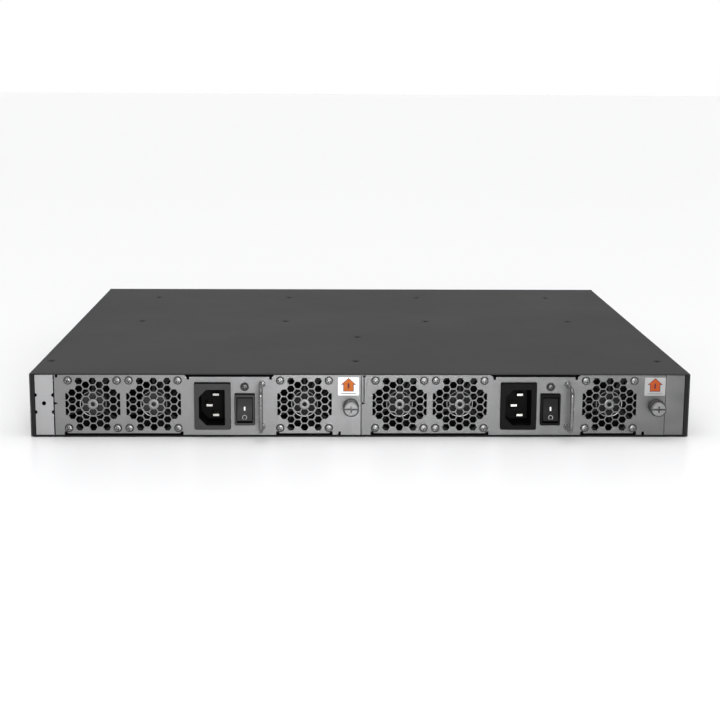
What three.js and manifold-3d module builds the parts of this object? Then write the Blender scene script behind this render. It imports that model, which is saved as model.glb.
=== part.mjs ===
// A 1U rackmount network switch with two hot-swap power and fan modules, in millimetres.
// +Z is up, +X is to the right when looking at the rear (power) side, and +Y points to the port side.
// The origin is the middle of the chassis footprint, on its bottom face.
import * as THREE from "three";
import { mergeGeometries, mergeVertices } from "three/addons/utils/BufferGeometryUtils.js";
import Module from "manifold-3d";

const wasm = await Module();
wasm.setup();

// ---------------------------------------------------------------- driving dimensions
const CHASSIS_W = 440;
const CHASSIS_H = 43.6;
const CHASSIS_D = 381;
const REAR = -CHASSIS_D / 2;
const FRONT = CHASSIS_D / 2;
const GAP = 0.3; // between pieces that touch on the real object

const SKIN = 1.0; // sheet of the cover and of the base pan
const FACE_T = 1.2; // sheet of the rear face plates
const PANEL_T = 1.4; // front panel
const BODY_FRONT = FRONT - PANEL_T - GAP; // where cover and pan end, behind the front panel
const SKIRT_IN = CHASSIS_W / 2 - SKIN; // inner face of the cover's side skirts
const WALL_OUT = SKIRT_IN - GAP; // outer face of the pan's side walls
const WALL_IN = WALL_OUT - SKIN;
const HEM_T = 0.8; // the pan's walls are folded back on themselves at the rear
const HEM_L = 10;
const UNDER_COVER = CHASSIS_H - SKIN;

const FACE_REAR = REAR + 0.5; // outer face of the rear plates, just inside the cover's edge
const FACE_INNER = FACE_REAR + FACE_T;
const FACE_LOW = SKIN + GAP;
const FACE_HIGH = UNDER_COVER - 0.4;

const MODULE_PITCH = 204.2;
const MODULE_W = 203.4;
const HALF_W = MODULE_W / 2;
const MODULE_X = MODULE_PITCH / 2;
const MODULE_FRONT = -12; // how far the module's tray reaches into the chassis
const STRIP_IN = { left: MODULE_PITCH + 0.4, right: MODULE_PITCH - 0.1 }; // inner edges of the fixed strips
const STRIP_OUT = WALL_IN - HEM_T - GAP;

const FAN_SIZE = 39.8;
const FAN_DEPTH = 28;
const FAN_HOLES = 32; // between the fan's screws
const FAN_Z = 22.3;
const FAN_X = [-76.4, -36.1, 64.3]; // fan centres, from the middle of the module
const FAN_REAR = FACE_INNER + GAP;
const STATOR_T = 3;
const DUCT_R = 18.9;
const HUB_R = 10;
const STATOR_R = 8.2;
const FAN_SCREW = { r: 2.8, h: 1.5 };

const VENT = { pitch: 5.24, flats: 4.5, pilotR: 1.4 };

const INLET = {
  x: 3.1, z: 21.2, w: 23.8, h: 31.2, flangeT: 3.2,
  offX: -0.3, offZ: -0.5, cavityW: 17.3, cavityH: 24.3, cavityD: 18, chamfer: 5, wall: 1.5,
};
const SWITCH = {
  x: 24.5, z: 18.9, w: 13.2, h: 20.8, bezelT: 2.8,
  openW: 10.8, openH: 17.4, roomD: 9, depth: 16,
};
const ROCKER_TILT = 10; // degrees each side of level
const HANDLE = { x: 36, low: 8.3, high: 35, reach: 21, wire: 1.3, bend: 5, rivetR: 2.3 };
const THUMB = { x: 95.2, z: 21.5, r: 5.5, length: 12, neckR: 1.6, ringR: 4.9 };
const EARTH_SCREW = { x: 24.5, z: 34.3, r: 2.9, headT: 1.4, shankR: 1.5 };
const LABEL = { x: { left: 93.6, right: 94.6 }, z: 34.5, w: 14, h: 12.4, t: 0.2 }; // stuck on by hand

const SFP = { pitch: 14.6, cols: 4, cavityW: 13.6, cavityH: 9, rowPitch: 12, depth: 48, z: 25 };
const GANG_X = [-22, 46];
const GANG_W = SFP.pitch * SFP.cols;
const GANG_H = SFP.rowPitch + SFP.cavityH + 2;
const RJ45 = { w: 16, h: 13.6, depth: 21, z: 20.5, wall: 1.6, x: [-104, -86] };
const USB = { x: -124, z: 20.5, w: 7.6, h: 15, depth: 18, wall: 0.8 };
const LED_BAR = { x: -95, z: 33.6, w: 34, h: 3, depth: 3, lip: 1 };
const FRONT_VENT = { flats: 8.8, pitch: 10.4, rows: 3, low: 8.8, starts: [[104, 11], [-206, 5]] };
const PORT_ROOM = 0.5; // clearance of a port in its panel opening

const BOARD_Z = 6;
const BOARD_T = 1.6;
const MIDPLANE_Y = 4;
const SOLDERED = 0.2; // how deep a soldered part reaches into its board

// ---------------------------------------------------------------- materials
const paint = (color, roughness, metalness) =>
  new THREE.MeshStandardMaterial({ color, roughness, metalness });
const MATERIAL = {
  cover: paint(0x4f4f50, 0.6, 0.2),
  pan: paint(0x2b2b2d, 0.6, 0.2),
  face: paint(0xa9a9aa, 0.45, 0.8),
  strip: paint(0xb4b4b4, 0.45, 0.8),
  zinc: paint(0xc4c4c6, 0.3, 0.9),
  black: paint(0x1b1b1c, 0.5, 0),
  rocker: paint(0x242425, 0.4, 0),
  fan: paint(0x141415, 0.5, 0),
  board: paint(0x1d5a35, 0.5, 0),
  heatsink: paint(0x9a9da0, 0.4, 0.9),
  nickel: paint(0xd8d6d0, 0.25, 1),
  label: paint(0xf2f2ee, 0.6, 0),
  dark: paint(0x3a3a3c, 0.5, 0.6),
};

// ---------------------------------------------------------------- solids
// A closed geometry as a manifold solid. Corners are snapped to a fine grid, so that faces meant to be
// flush are exactly flush, and triangles that collapse when vertices merge are dropped.
const GRID = 1e4;

function solidOf(geometry) {
  const bare = geometry.clone();
  bare.deleteAttribute("normal");
  bare.deleteAttribute("uv");
  const corners = bare.attributes.position.array;
  corners.forEach((value, i) => (corners[i] = Math.round(value * GRID) / GRID));
  const merged = mergeVertices(bare, 1e-4);
  const index = merged.index.array;
  const kept = [];
  for (let i = 0; i < index.length; i += 3) {
    const [a, b, c] = [index[i], index[i + 1], index[i + 2]];
    if (a !== b && b !== c && a !== c) kept.push(a, b, c);
  }
  return new wasm.Manifold(
    new wasm.Mesh({
      numProp: 3,
      vertProperties: new Float32Array(merged.attributes.position.array),
      triVerts: new Uint32Array(kept),
    }),
  );
}

function meshOf(name, solid, material) {
  const made = solid.getMesh();
  const geometry = new THREE.BufferGeometry();
  geometry.setAttribute("position", new THREE.BufferAttribute(new Float32Array(made.vertProperties), 3));
  geometry.setIndex(new THREE.BufferAttribute(new Uint32Array(made.triVerts), 1));
  geometry.computeVertexNormals();
  const mesh = new THREE.Mesh(geometry, material);
  mesh.name = name;
  return mesh;
}

const join = (...solids) => solids.reduce((all, one) => all.add(one));
const cut = (solid, ...tools) => tools.reduce((left, tool) => left.subtract(tool), solid);

// A box between two corners.
function slab(x0, x1, y0, y1, z0, z1) {
  const geometry = new THREE.BoxGeometry(x1 - x0, y1 - y0, z1 - z0);
  geometry.translate((x0 + x1) / 2, (y0 + y1) / 2, (z0 + z1) / 2);
  return solidOf(geometry);
}

// A box given by its middle and size in X and Z, from y0 to y1.
const centred = (x, z, w, h, y0, y1) => slab(x - w / 2, x + w / 2, y0, y1, z - h / 2, z + h / 2);

// A round bar along Y from y0 to y1.
function rod(r, x, z, y0, y1, sides = 12) {
  const geometry = new THREE.CylinderGeometry(r, r, y1 - y0, sides);
  geometry.translate(x, (y0 + y1) / 2, z);
  return solidOf(geometry);
}

// A round bar along Z.
function post(r, x, y, z0, z1, sides = 8) {
  const geometry = new THREE.CylinderGeometry(r, r, z1 - z0, sides);
  geometry.rotateX(Math.PI / 2);
  geometry.translate(x, y, (z0 + z1) / 2);
  return solidOf(geometry);
}

// A round bar along X.
function peg(r, x0, x1, y, z, sides = 8) {
  const geometry = new THREE.CylinderGeometry(r, r, x1 - x0, sides);
  geometry.rotateZ(Math.PI / 2);
  geometry.translate((x0 + x1) / 2, y, z);
  return solidOf(geometry);
}

// A simple outline drawn in X and Z, given as [x, z] corners, from y0 to y1.
function prismXZ(corners, y0, y1) {
  const geometry = new THREE.ExtrudeGeometry(outline(corners), { depth: y1 - y0, bevelEnabled: false });
  geometry.rotateX(Math.PI / 2);
  geometry.translate(0, y1, 0);
  return geometry;
}

const plateXZ = (corners, y0, y1) => solidOf(prismXZ(corners, y0, y1));

// Many separate holes, all from y0 to y1, as one cutting tool.
const punchXZ = (holes, y0, y1) => solidOf(mergeGeometries(holes.map((hole) => prismXZ(hole, y0, y1))));

// An outline drawn in Y and Z, from x0 to x1.
function plateYZ(shape, x0, x1) {
  const geometry = new THREE.ExtrudeGeometry(shape, { depth: x1 - x0, bevelEnabled: false });
  const turn = new THREE.Matrix4().makeBasis(
    new THREE.Vector3(0, 1, 0),
    new THREE.Vector3(0, 0, 1),
    new THREE.Vector3(1, 0, 0),
  );
  geometry.applyMatrix4(turn);
  geometry.translate(x0, 0, 0);
  return solidOf(geometry);
}

// A profile of [radius, y] points turned about the Y axis through (x, z).
function turned(profile, x, z, sides) {
  const points = profile.map(([r, y]) => new THREE.Vector2(r, y));
  const geometry = new THREE.LatheGeometry(points, sides);
  geometry.translate(x, 0, z);
  return solidOf(geometry);
}

const outline = (points) => new THREE.Shape(points.map(([a, b]) => new THREE.Vector2(a, b)));
const rect = (x0, x1, z0, z1) => [[x0, z0], [x1, z0], [x1, z1], [x0, z1]];

// Corners of a rectangle given by its middle and size, grown by room on every side.
const around = (x, z, w, h, room) =>
  rect(x - w / 2 - room, x + w / 2 + room, z - h / 2 - room, z + h / 2 + room);

// Corners of a regular polygon; a hexagon at turn 0 has level top and bottom edges.
function polygon(x, z, r, sides, turn = 0) {
  return Array.from({ length: sides }, (_, i) => {
    const angle = turn + (i * 2 * Math.PI) / sides;
    return [x + r * Math.cos(angle), z + r * Math.sin(angle)];
  });
}

// ---------------------------------------------------------------- hexagonal vents
const HEX_R = VENT.flats / Math.sqrt(3);
const HEX_COLUMN = VENT.pitch * Math.cos(Math.PI / 6);
// For each column from the middle out: how many pitches the outermost hole is from the fan's centre.
const COLUMN_REACH = [3, 2.5, 3, 1.5];

// The honeycomb of holes over one fan, with half cells at the sides and a small pilot hole in the middle.
function grilleHoles(x, z) {
  const holes = [polygon(x, z, VENT.pilotR, 6)];
  const last = COLUMN_REACH.length - 1;
  for (let column = -last; column <= last; column++) {
    const reach = COLUMN_REACH[Math.abs(column)];
    for (let row = -reach; row <= reach; row++) {
      if (column !== 0 || row !== 0) {
        holes.push(polygon(x + column * HEX_COLUMN, z + row * VENT.pitch, HEX_R, 6));
      }
    }
  }
  for (const side of [-1, 1]) {
    for (let row = -1; row <= 1; row++) {
      const cx = x + side * (last + 1) * HEX_COLUMN;
      const cz = z + row * VENT.pitch;
      const half = VENT.flats / 2;
      holes.push([
        [cx, cz + half],
        [cx - (side * HEX_R) / 2, cz + half],
        [cx - side * HEX_R, cz],
        [cx - (side * HEX_R) / 2, cz - half],
        [cx, cz - half],
      ]);
    }
  }
  return holes;
}

// ---------------------------------------------------------------- chassis
// Screws through the cover: [x, y]. Two rows of four, one in the middle, and a rear row set off to the left.
const ROW_SCREWS = [FRONT - 50, FRONT - 174.5].flatMap((y) => [-170, -56, 56, 170].map((x) => [x, y]));
const REAR_SCREWS = [[0, REAR + 136], ...[-212.5, -3, 206.5].map((x) => [x, REAR + 42])];
const COVER_SCREW_R = 2.1;

// Holes for the rack ears, the same on both sides: [y, z].
const EAR_HOLES = [FRONT - 22, FRONT - 54].flatMap((y) => [12, 32].map((z) => [y, z]));
const EAR_CLEAR_R = 2.2; // in the cover
const EAR_THREAD_R = 1.7; // in the pan's walls

// A box given for the right side of the chassis, as it lies on one side or the other.
function sided(side, x0, x1, ...rest) {
  return side < 0 ? slab(-x1, -x0, ...rest) : slab(x0, x1, ...rest);
}

const earHoles = (r) => [-CHASSIS_W / 2, CHASSIS_W / 2].flatMap((x) =>
  EAR_HOLES.map(([y, z]) => peg(r, x - 4, x + 4, y, z, 6)),
);

function topCover() {
  const halfW = CHASSIS_W / 2;
  const skirtLow = 0.4;
  const block = slab(-halfW, halfW, REAR, BODY_FRONT, skirtLow, CHASSIS_H);
  const room = slab(-SKIRT_IN, SKIRT_IN, REAR - 1, BODY_FRONT + 1, -1, UNDER_COVER);
  const screwHoles = [...ROW_SCREWS, ...REAR_SCREWS].map(([x, y]) =>
    post(COVER_SCREW_R, x, y, UNDER_COVER - 1, CHASSIS_H + 1, 6),
  );
  return cut(block, room, ...earHoles(EAR_CLEAR_R), ...screwHoles);
}

// The floor with its side walls, the rear hems, the front flanges and the stand-offs for the board.
function basePan() {
  const wallTop = UNDER_COVER - GAP;
  const flange = 9;
  const standoffR = 3.2;
  const parts = [slab(-WALL_OUT, WALL_OUT, REAR, BODY_FRONT, 0, SKIN)];
  for (const side of [-1, 1]) {
    parts.push(sided(side, WALL_IN, WALL_OUT, REAR, BODY_FRONT, 0, wallTop));
    parts.push(sided(side, WALL_IN - HEM_T, WALL_OUT, REAR, REAR + HEM_L, 0, wallTop));
    parts.push(sided(side, WALL_IN - flange, WALL_OUT, BODY_FRONT - SKIN, BODY_FRONT, 0, wallTop));
  }
  for (const [x, y] of ROW_SCREWS) {
    parts.push(post(standoffR, x, y, 0, BOARD_Z - GAP, 6));
  }
  return cut(join(...parts), ...earHoles(EAR_THREAD_R));
}

// A tab that stands out to the left, up to wallX, with the hole that the thumbscrew of a module at x enters.
function thumbTab(x, wallX) {
  const { z, neckR } = THUMB;
  const screwX = x + THUMB.x;
  const [y0, y1] = [FACE_INNER + 5, FACE_INNER + 7];
  const tab = slab(screwX - 5, wallX, y0, y1, z - 6, z + 6);
  return cut(tab, rod(neckR + 0.4, screwX, z, y0 - 1, y1 + 1, 10));
}

// The fixed strip beside a module: its rear face, and the wall that runs forward as the module's guide.
function strip(inner) {
  return join(
    slab(inner, STRIP_OUT, FACE_REAR, FACE_INNER, FACE_LOW, FACE_HIGH),
    slab(inner, inner + SKIN, FACE_INNER - 0.2, MODULE_FRONT, FACE_LOW, FACE_HIGH),
  );
}

// The left strip has a hole and four half-round nicks in its rear face.
function leftStrip() {
  const [y0, y1] = [FACE_REAR - 1, FACE_INNER + 0.4];
  const nicks = [STRIP_IN.left, STRIP_OUT].flatMap((x) => [16.9, 28.5].map((z) => rod(0.9, x, z, y0, y1, 8)));
  const eye = rod(1.35, 210.8, 22.9, y0, y1, 10);
  return cut(strip(STRIP_IN.left), eye, ...nicks).mirror([1, 0, 0]);
}

const rightStrip = () => join(strip(STRIP_IN.right), thumbTab(MODULE_X, STRIP_IN.right + SKIN / 2));

// An I-shaped wall between the two bays.
function bayDivider() {
  const [y0, y1] = [FACE_INNER + GAP, MODULE_FRONT];
  const [web, flange] = [0.6, 2.2];
  return join(
    thumbTab(-MODULE_X, 0),
    slab(-web, web, y0, y1, FACE_LOW, FACE_HIGH),
    slab(-flange, flange, y0, y1, FACE_LOW, FACE_LOW + SKIN),
    slab(-flange, flange, y0, y1, FACE_HIGH - SKIN, FACE_HIGH),
  );
}

// ---------------------------------------------------------------- front panel and ports
// Honeycomb vent holes in the front panel from x0 rightwards.
function frontVent([x0, columns]) {
  const { flats, pitch, rows, low } = FRONT_VENT;
  const holes = [];
  for (let column = 0; column < columns; column++) {
    const x = x0 + column * pitch * Math.cos(Math.PI / 6);
    const rise = column % 2 ? pitch / 2 : 0;
    for (let row = 0; row < rows; row++) {
      holes.push(polygon(x, low + rise + row * pitch, flats / Math.sqrt(3), 6));
    }
  }
  return holes;
}

function frontPanel() {
  const halfW = CHASSIS_W / 2;
  const lowerEdge = 0.2;
  const holes = [
    ...FRONT_VENT.starts.flatMap(frontVent),
    ...GANG_X.map((x) => around(x, SFP.z, GANG_W, GANG_H, PORT_ROOM)),
    ...RJ45.x.map((x) => around(x, RJ45.z, RJ45.w, RJ45.h, PORT_ROOM)),
    around(USB.x, USB.z, USB.w, USB.h, PORT_ROOM),
    around(LED_BAR.x, LED_BAR.z, LED_BAR.w, LED_BAR.h, GAP),
  ];
  const blank = slab(-halfW, halfW, FRONT - PANEL_T, FRONT, lowerEdge, CHASSIS_H);
  return cut(blank, punchXZ(holes, FRONT - PANEL_T - 1, FRONT + 1));
}

// A light pipe with a wider lip behind the panel.
function ledBar() {
  const { x, z, w, h, depth, lip } = LED_BAR;
  const y0 = FRONT - PANEL_T - depth;
  return join(
    centred(x, z, w, h, y0, FRONT + 0.2),
    centred(x, z, w + 2 * lip, h + 2 * lip, y0, FRONT - PANEL_T - GAP),
  );
}

// A stacked block of transceiver cages, two rows high, open to the front.
function cageBlock(x) {
  const y0 = FRONT - SFP.depth;
  const cavities = [];
  for (let column = 0; column < SFP.cols; column++) {
    const cx = x + (column - (SFP.cols - 1) / 2) * SFP.pitch;
    for (const row of [-0.5, 0.5]) {
      const cz = SFP.z + row * SFP.rowPitch;
      cavities.push(centred(cx, cz, SFP.cavityW, SFP.cavityH, y0 + 2, FRONT + 2));
    }
  }
  return cut(centred(x, SFP.z, GANG_W, GANG_H, y0, FRONT + 0.6), ...cavities);
}

// A box-shaped jack with one opening to the front.
function jack(x, { w, h, depth, z, wall }) {
  const body = centred(x, z, w, h, FRONT - depth, FRONT + 0.4);
  return cut(body, centred(x, z, w - 2 * wall, h - 2 * wall, FRONT - depth + 4, FRONT + 1));
}

// ---------------------------------------------------------------- inside the chassis
// The main board with its two large chips and the power connectors soldered on.
const BOARD_TOP = BOARD_Z + BOARD_T;
const BOARD_HALF_W = 206;
const SWITCH_CHIP = { x: 0, y: 84, size: 42, h: 3, sink: { w: 90, d: 80, h: 26, fins: 16 } };
const PROCESSOR = { x: -130, y: 84, size: 26, h: 2.4, sink: { w: 48, d: 50, h: 18, fins: 10 } };
const MEMORY = { x: [-168, -160], y: [50, 118], t: 4, h: 16 };

function mainBoard() {
  const z0 = BOARD_TOP - SOLDERED;
  const chips = [SWITCH_CHIP, PROCESSOR].map(({ x, y, size, h }) =>
    slab(x - size / 2, x + size / 2, y - size / 2, y + size / 2, z0, BOARD_TOP + h),
  );
  const memory = MEMORY.x.map((x) => slab(x, x + MEMORY.t, ...MEMORY.y, z0, BOARD_TOP + MEMORY.h));
  const board = slab(-BOARD_HALF_W, BOARD_HALF_W, MIDPLANE_Y + 6, BODY_FRONT - 4, BOARD_Z, BOARD_TOP);
  return join(board, ...chips, ...memory);
}

// A plate with upright fins running front to back, on top of a chip.
function heatSink({ x, y, h, sink }) {
  const z0 = BOARD_TOP + h + GAP;
  const [y0, y1] = [y - sink.d / 2, y + sink.d / 2];
  const base = 3;
  const halfFin = 0.6;
  const first = x - sink.w / 2 + halfFin;
  const pitch = (sink.w - 2 * halfFin) / (sink.fins - 1);
  const parts = [slab(x - sink.w / 2, x + sink.w / 2, y0, y1, z0, z0 + base)];
  for (let i = 0; i < sink.fins; i++) {
    const fin = first + i * pitch;
    parts.push(slab(fin - halfFin, fin + halfFin, y0, y1, z0 + base - 1, z0 + sink.h));
  }
  return join(...parts);
}

// The upright board that the modules plug into, with large windows for the air.
const MIDPLANE = { halfW: 200, z: [9, 40], windowX: 64, windowW: 40, windowZ: [13, 36] };

function midplane() {
  const { halfW, z, windowX, windowW, windowZ } = MIDPLANE;
  const middles = [-MODULE_X, MODULE_X].flatMap((x) => [x - windowX, x + windowX]);
  const windows = middles.map((x) => rect(x - windowW / 2, x + windowW / 2, ...windowZ));
  const board = slab(-halfW, halfW, MIDPLANE_Y, MIDPLANE_Y + BOARD_T, ...z);
  return cut(board, punchXZ(windows, MIDPLANE_Y - 1, MIDPLANE_Y + BOARD_T + 1));
}

const PLUG = { w: 44, h: 9, z: 24, tongue: 4, socketD: 10 };

function midplaneSocket(x) {
  const { w, h, z, tongue, socketD } = PLUG;
  const body = centred(x, z, w, h, MIDPLANE_Y - socketD, MIDPLANE_Y - GAP);
  return cut(body, centred(x, z, w - 6, tongue + 1, MIDPLANE_Y - socketD - 1, MIDPLANE_Y - 2));
}

// ---------------------------------------------------------------- power and fan module
const LIFTED = FACE_LOW + 1.1; // lower edge of the plate under the fans, where the tray shows
const DROPPED = FACE_HIGH - 1.3; // upper edge over the power section
const LIFT_X = [[-94.8, -17.4], [46.2, 82.2]];
const POWER_X = [-13.1, 41.8];
const NOTCH_W = 1.3;
const EDGE_NOTCH_X = [86.5, 88.3];
const SEAM_SLIT_Z = [22.5, 23.3];

// What the bends and reliefs take off the edges of the face plate.
function faceReliefs() {
  const over = FACE_HIGH + 1;
  const under = FACE_LOW - 1;
  return [
    ...LIFT_X.map(([x0, x1]) => rect(x0, x1, under, LIFTED)),
    ...LIFT_X.flat().map((x) => rect(x - NOTCH_W / 2, x + NOTCH_W / 2, under, LIFTED + 1.1)),
    rect(...EDGE_NOTCH_X, under, FACE_LOW + 2),
    rect(...POWER_X, DROPPED, over),
    ...POWER_X.map((x) => rect(x - NOTCH_W / 2, x + NOTCH_W / 2, DROPPED - 1.6, over)),
    rect(0.6 - HALF_W, 2.3 - HALF_W, FACE_HIGH - 1.8, over),
    rect(-HALF_W - 1, 1.8 - HALF_W, ...SEAM_SLIT_Z),
  ];
}

// The keyed outline of the inlet's cavity, with two cut corners, grown by some wall thickness.
function keyedOutline(grow) {
  const { x, z, offX, offZ, cavityW, cavityH, chamfer } = INLET;
  const [x0, x1] = [x + offX - cavityW / 2 - grow, x + offX + cavityW / 2 + grow];
  const [z0, z1] = [z + offZ - cavityH / 2 - grow, z + offZ + cavityH / 2 + grow];
  return [[x0 + chamfer, z0], [x1, z0], [x1, z1], [x0 + chamfer, z1], [x0, z1 - chamfer], [x0, z0 + chamfer]];
}

// The plate with its vents and cut-outs, the thumbscrew's ring and the heads of the twelve fan screws.
// The right-hand plate has a scored line beside its left edge.
function facePlate(side) {
  const holes = [
    ...FAN_X.flatMap((x) => grilleHoles(x, FAN_Z)),
    keyedOutline(INLET.wall + 0.1 + GAP),
    around(SWITCH.x, SWITCH.z, SWITCH.openW + 1.2, SWITCH.openH + 1.6, GAP),
    polygon(HANDLE.x, HANDLE.low, HANDLE.wire + 0.4, 8),
    polygon(HANDLE.x, HANDLE.high, HANDLE.wire + 0.4, 8),
    polygon(THUMB.x, THUMB.z, THUMB.ringR - GAP, 12),
    polygon(EARTH_SCREW.x, EARTH_SCREW.z, EARTH_SCREW.shankR + 0.4, 8),
  ];
  const blank = slab(-HALF_W, HALF_W, FACE_REAR, FACE_INNER, FACE_LOW, FACE_HIGH);
  const reliefs = faceReliefs().map((corners) => plateXZ(corners, FACE_REAR - 1, FACE_INNER + 1));
  if (side === "right") {
    const [y0, y1] = [FACE_REAR - 1, FACE_REAR + 0.5];
    reliefs.push(slab(1 - HALF_W, 1.4 - HALF_W, y0, y1, SEAM_SLIT_Z[0], FACE_HIGH - 1));
  }
  const plate = cut(blank, punchXZ(holes, FACE_REAR - 1, FACE_INNER + 1), ...reliefs);
  const heads = FAN_X.flatMap(fanCorners).map(([x, z]) =>
    rod(FAN_SCREW.r, x, z, FACE_REAR - FAN_SCREW.h, FACE_REAR + 0.2, 6),
  );
  return join(plate, ferrule(), ...heads);
}

// A tray with side walls, and a lip at its inner end that stays clear of the plug and the air.
// Its floor is cut back where the lifted edges of the face plate would show it.
const TRAY = { x: [-98.4, 87], t: 0.7, wallTop: 38, lipTop: 12, setBack: 7 };

function tray() {
  const { x: [x0, x1], t, wallTop, lipTop, setBack } = TRAY;
  const y0 = FACE_INNER + GAP;
  const whole = join(
    slab(x0, x1, y0, MODULE_FRONT, FACE_LOW, FACE_LOW + t),
    slab(x0, x0 + t, y0, MODULE_FRONT, FACE_LOW, wallTop),
    slab(x1 - t, x1, y0, MODULE_FRONT, FACE_LOW, wallTop),
    slab(x0, x1, MODULE_FRONT - t, MODULE_FRONT, FACE_LOW, lipTop),
  );
  const cutBacks = LIFT_X.map(([a, b]) =>
    slab(a - 1, b + 1, y0 - 1, y0 + setBack, FACE_LOW - 1, FACE_LOW + t + 1),
  );
  return cut(whole, ...cutBacks);
}

function fanCorners(x) {
  const half = FAN_HOLES / 2;
  return [[-half, -half], [half, -half], [half, half], [-half, half]].map(([dx, dz]) => [x + dx, FAN_Z + dz]);
}

// The fan's square housing with its motor mount on four struts.
function fanFrame(x) {
  const half = FAN_SIZE / 2;
  const block = slab(x - half, x + half, FAN_REAR, FAN_REAR + FAN_DEPTH, FAN_Z - half, FAN_Z + half);
  const frame = cut(block, rod(DUCT_R, x, FAN_Z, FAN_REAR - 1, FAN_REAR + FAN_DEPTH + 1, 20));
  const mount = rod(STATOR_R, x, FAN_Z, FAN_REAR, FAN_REAR + STATOR_T, 12);
  const struts = [20, 110, 200, 290].map((angle) =>
    slab(STATOR_R - 1.7, DUCT_R + 0.3, FAN_REAR + 0.4, FAN_REAR + STATOR_T, 3, 5)
      .rotate([0, angle, 0])
      .translate([x, 0, FAN_Z]),
  );
  return join(frame, mount, ...struts);
}

const BLADES = 5;
const BLADE = { length: 8.5, chord: 15, t: 1.1, slant: 50, out: 12.6 };
const ROTOR_ROOM = 1; // between the motor mount and the rotor
const ROTOR_REAR = FAN_REAR + STATOR_T + ROTOR_ROOM;
const ROTOR_FRONT = FAN_REAR + FAN_DEPTH - 1.5;

// Hub and slanted blades. The fan spins about the Y axis through (x, FAN_Z).
function fanRotor(x) {
  const middle = (ROTOR_REAR + ROTOR_FRONT) / 2;
  const hub = rod(HUB_R, 0, 0, ROTOR_REAR, ROTOR_FRONT, 12);
  const blades = Array.from({ length: BLADES }, (_, i) => {
    const geometry = new THREE.BoxGeometry(BLADE.length, BLADE.t, BLADE.chord);
    geometry.rotateX(THREE.MathUtils.degToRad(BLADE.slant));
    geometry.translate(BLADE.out, middle, 0);
    geometry.rotateY((i * 2 * Math.PI) / BLADES);
    return solidOf(geometry);
  });
  return join(hub, ...blades).translate([x, 0, FAN_Z]);
}

// The appliance inlet: a flange outside the plate and a body with a keyed cavity behind it.
const OUTER_Y = FACE_REAR - GAP; // back of the flanges that lie on the plate

function inletBody() {
  const { x, z, w, h, flangeT, cavityD, wall } = INLET;
  const flange = centred(x, z, w, h, OUTER_Y - flangeT, OUTER_Y);
  const body = plateXZ(keyedOutline(wall), OUTER_Y - 0.1, FACE_REAR + cavityD + 2);
  const cavity = plateXZ(keyedOutline(0), FACE_REAR - 5, FACE_REAR + cavityD - 2);
  const pinHoles = INLET_PINS.map((pin) => pinBlade(pin, PIN_ROOM));
  return cut(join(flange, body), cavity, ...pinHoles);
}

// Blade centres, from the middle of the cavity, and how far each tip lies behind the plate's outer face.
const INLET_PINS = [
  { name: "line", x: 2.1, z: 7, tip: 6 },
  { name: "neutral", x: 2.1, z: -7, tip: 6 },
  { name: "earth", x: -2.1, z: 0, tip: 4.5 },
];
const PIN = { w: 4, t: 2 };
const PIN_ROOM = 0.35;

// One blade, or the hole it stands in when grown.
function pinBlade(pin, grow) {
  const x = INLET.x + INLET.offX + pin.x;
  const z = INLET.z + INLET.offZ + pin.z;
  const inner = FACE_REAR + INLET.cavityD + 5 + grow;
  return centred(x, z, PIN.w + 2 * grow, PIN.t + 2 * grow, FACE_REAR + pin.tip, inner);
}

function switchBody() {
  const { x, z, w, h, bezelT, openW, openH, roomD, depth } = SWITCH;
  const bezel = centred(x, z, w, h, OUTER_Y - bezelT, OUTER_Y);
  const body = centred(x, z, openW + 1.2, openH + 1.6, OUTER_Y - 0.1, FACE_REAR + depth);
  return cut(join(bezel, body), centred(x, z, openW, openH, FACE_REAR - 5, FACE_REAR + roomD));
}

// The paddle, rocked so that its upper half is in. It turns about the X axis through its middle.
const ROCKER_Y = FACE_REAR + 1;
const ROCKER = { halfL: 7.9, halfW: 5.05, waist: -3.2, crest: -4.2, rim: -0.8, keel: 4.6, keelHalf: 3.2 };

function rocker() {
  const { halfL, halfW, waist, crest, rim, keel, keelHalf } = ROCKER;
  const profile = [
    [waist, 0], [crest, -halfL], [rim, -halfL], [keel, -keelHalf],
    [keel, keelHalf], [rim, halfL], [crest, halfL],
  ];
  return plateYZ(outline(profile), -halfW, halfW)
    .rotate([-ROCKER_TILT, 0, 0])
    .translate([SWITCH.x, ROCKER_Y, SWITCH.z]);
}

// A U of round wire that stands out from the plate; its feet are riveted behind it.
function handle() {
  const { x, low, high, reach, wire, bend, rivetR } = HANDLE;
  const foot = FACE_INNER + GAP + 0.4;
  const far = FACE_REAR - reach + wire;
  const path = new THREE.CurvePath();
  const at = (y, z) => new THREE.Vector3(x, y, z);
  path.add(new THREE.LineCurve3(at(foot, low), at(far + bend, low)));
  path.add(new THREE.QuadraticBezierCurve3(at(far + bend, low), at(far, low), at(far, low + bend)));
  path.add(new THREE.LineCurve3(at(far, low + bend), at(far, high - bend)));
  path.add(new THREE.QuadraticBezierCurve3(at(far, high - bend), at(far, high), at(far + bend, high)));
  path.add(new THREE.LineCurve3(at(far + bend, high), at(foot, high)));
  const section = outline(polygon(0, 0, wire, 8));
  const swept = new THREE.ExtrudeGeometry(section, { extrudePath: path, steps: 20, bevelEnabled: false });
  const rivet = (z) => rod(rivetR, x, z, FACE_INNER + GAP, FACE_INNER + GAP + 1, 8);
  return join(solidOf(swept), rivet(low), rivet(high));
}

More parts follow.
